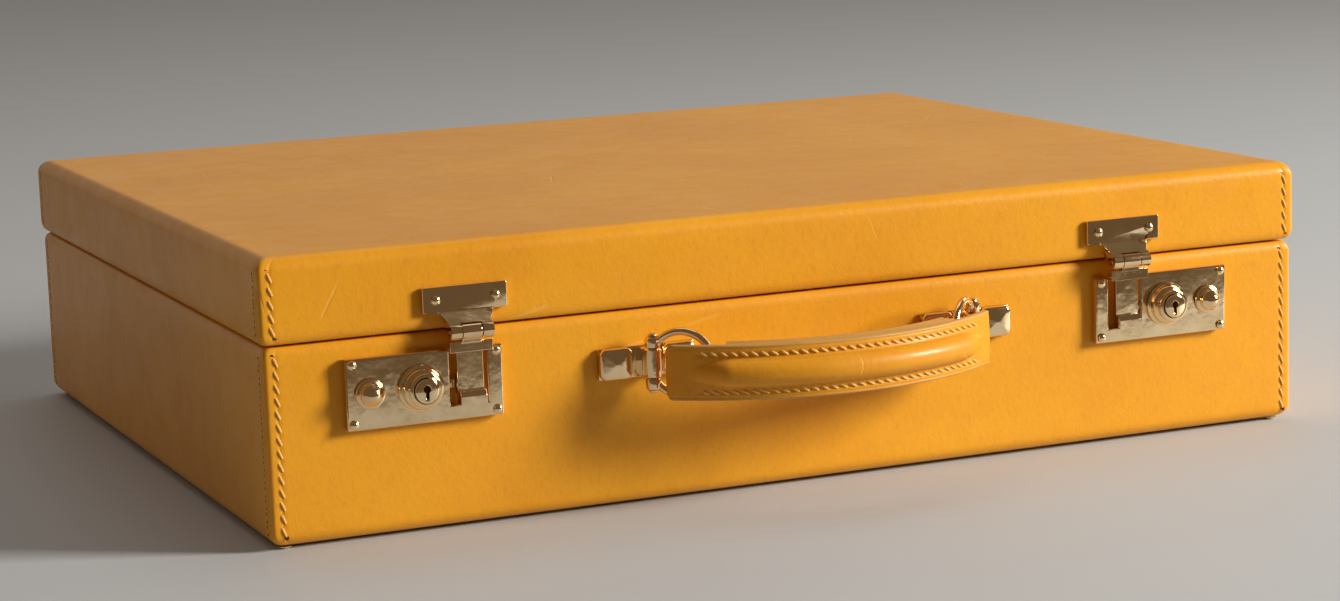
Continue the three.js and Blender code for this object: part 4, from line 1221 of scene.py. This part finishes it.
def build_lid_pad():
    """Padded panel: crowned between its sewn edge and a border seam."""
    node = "lid_pad"
    low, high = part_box(node)
    half_x = (high.x - low.x) / 2
    half_y = (high.y - low.y) / 2
    thick = high.z - low.z
    count_x, count_y = 84, 66
    border = 24 * MM
    edge = 3 * MM
    mesher = Mesher()
    rows = {}
    for face, sign in (("down", -1), ("up", 1)):
        rows[face] = []
        for j in range(count_y + 1):
            row = []
            for i in range(count_x + 1):
                x = -half_x + 2 * half_x * i / count_x
                y = -half_y + 2 * half_y * j / count_y
                from_edge = min(half_x - abs(x), half_y - abs(y))
                puff = math.sqrt(max(0.0, 1 - (1 - min(from_edge / (9 * MM), 1)) ** 2))
                seam = math.exp(-((from_edge - border) / (2.2 * MM)) ** 2)
                ripple = 0.35 * MM * noise.noise(Vector((x * 40, y * 40, 3)))
                if face == "down":
                    z = high.z - thick / 2 - (thick / 2 - 0.3 * MM) * puff + seam * 1.7 * MM + ripple * puff
                else:
                    z = high.z - thick / 2 * (1 - min(from_edge / edge, 1))
                row.append(Vector((x, case_y + y, z)))
            rows[face].append(mesher.ring(row))
        mesher.skin(rows[face], closed=False)

    def border_of(grid):
        right = [row[-1] for row in grid[:-1]]
        left = [row[0] for row in grid[:0:-1]]
        return grid[0][:-1] + right + grid[-1][:0:-1] + left

    mesher.bridge(border_of(rows["down"]), border_of(rows["up"]))
    piece = mesher.make("lid_pad_panel", PAD_SUEDE, sharp=80)
    settle(piece, node)


# ---------------- floor and light


def stage_material(name, tone, roughness):
    s = Shader(name, roughness=roughness, specular=0.3)
    darker = colour(tone[0] * 0.96, tone[1] * 0.96, tone[2] * 0.96)
    s.set("Base Color", s.mix(s.noise(0.4, detail=2), tone, darker))
    return s.material


TABLE_HALF_WIDTH = 5.0
TABLE_IN_FRONT = 0.25            # from the base to the table's front edge
TABLE_APRON = 0.3
TABLE_BACK = 6.0


def make_stage():
    """A pale table top whose front edge lies a little in front of the case."""
    front_edge = base_low.y - TABLE_IN_FRONT
    section = [(front_edge, -TABLE_APRON), (front_edge, 0.0), (TABLE_BACK, 0.0)]
    mesher = Mesher()
    left = mesher.ring([Vector((-TABLE_HALF_WIDTH, y, z)) for y, z in section])
    right = mesher.ring([Vector((TABLE_HALF_WIDTH, y, z)) for y, z in section])
    mesher.bridge(left, right, closed=False)
    table = mesher.make("table", stage_material("pale_table", colour(0.55, 0.58, 0.62), 0.6))


def area_light(name, place, aim, size, power, tint):
    data = bpy.data.lights.new(name, "AREA")
    data.shape = "RECTANGLE"
    data.size, data.size_y = size
    data.energy = power
    data.color = tint
    light = bpy.data.objects.new(name, data)
    light.location = place
    light.rotation_mode = "QUATERNION"
    light.rotation_quaternion = (Vector(aim) - Vector(place)).to_track_quat("-Z", "Y")
    SCENE.collection.objects.link(light)


def make_lights():
    target = Vector((0, case_y, 0.05))
    area_light("window", (1.95, -1.3, 0.92), target, (0.6, 0.8), 94, (1.0, 0.95, 0.86))
    area_light("top", (0.2, 0.6, 1.9), target, (1.6, 1.0), 4, (1.0, 0.97, 0.93))
    SCENE.view_settings.view_transform = "Standard"


ROOM_TONE = colour(0.125, 0.086, 0.052)
WALL_TONE = colour(0.36, 0.34, 0.31)


def make_world():
    """A dark warm room in front of the case that turns into a grey wall behind it."""
    world = bpy.data.worlds.new("world")
    world.use_nodes = True
    tree = world.node_tree
    parts = tree.nodes.new("ShaderNodeSeparateXYZ")
    tree.links.new(tree.nodes.new("ShaderNodeTexCoord").outputs["Generated"], parts.inputs[0])
    behind = tree.nodes.new("ShaderNodeMapRange")
    behind.inputs["From Min"].default_value = -0.1
    behind.inputs["From Max"].default_value = 0.7
    tree.links.new(parts.outputs["Y"], behind.inputs["Value"])
    tones = tree.nodes.new("ShaderNodeMixRGB")
    tones.inputs[1].default_value = ROOM_TONE
    tones.inputs[2].default_value = WALL_TONE
    tree.links.new(behind.outputs["Result"], tones.inputs[0])
    tree.links.new(tones.outputs["Color"], tree.nodes["Background"].inputs["Color"])
    SCENE.world = world


make_camera()
build_shells()
build_corner_stitching()
build_nails()
build_feet()
build_locks()
build_hasps()
build_strap()
build_strap_stitching()
build_backing()
build_handle_fittings()
build_rear_hinges()
build_inside()
build_ring_rolls()
build_lid_pad()
make_stage()
make_lights()
make_world()
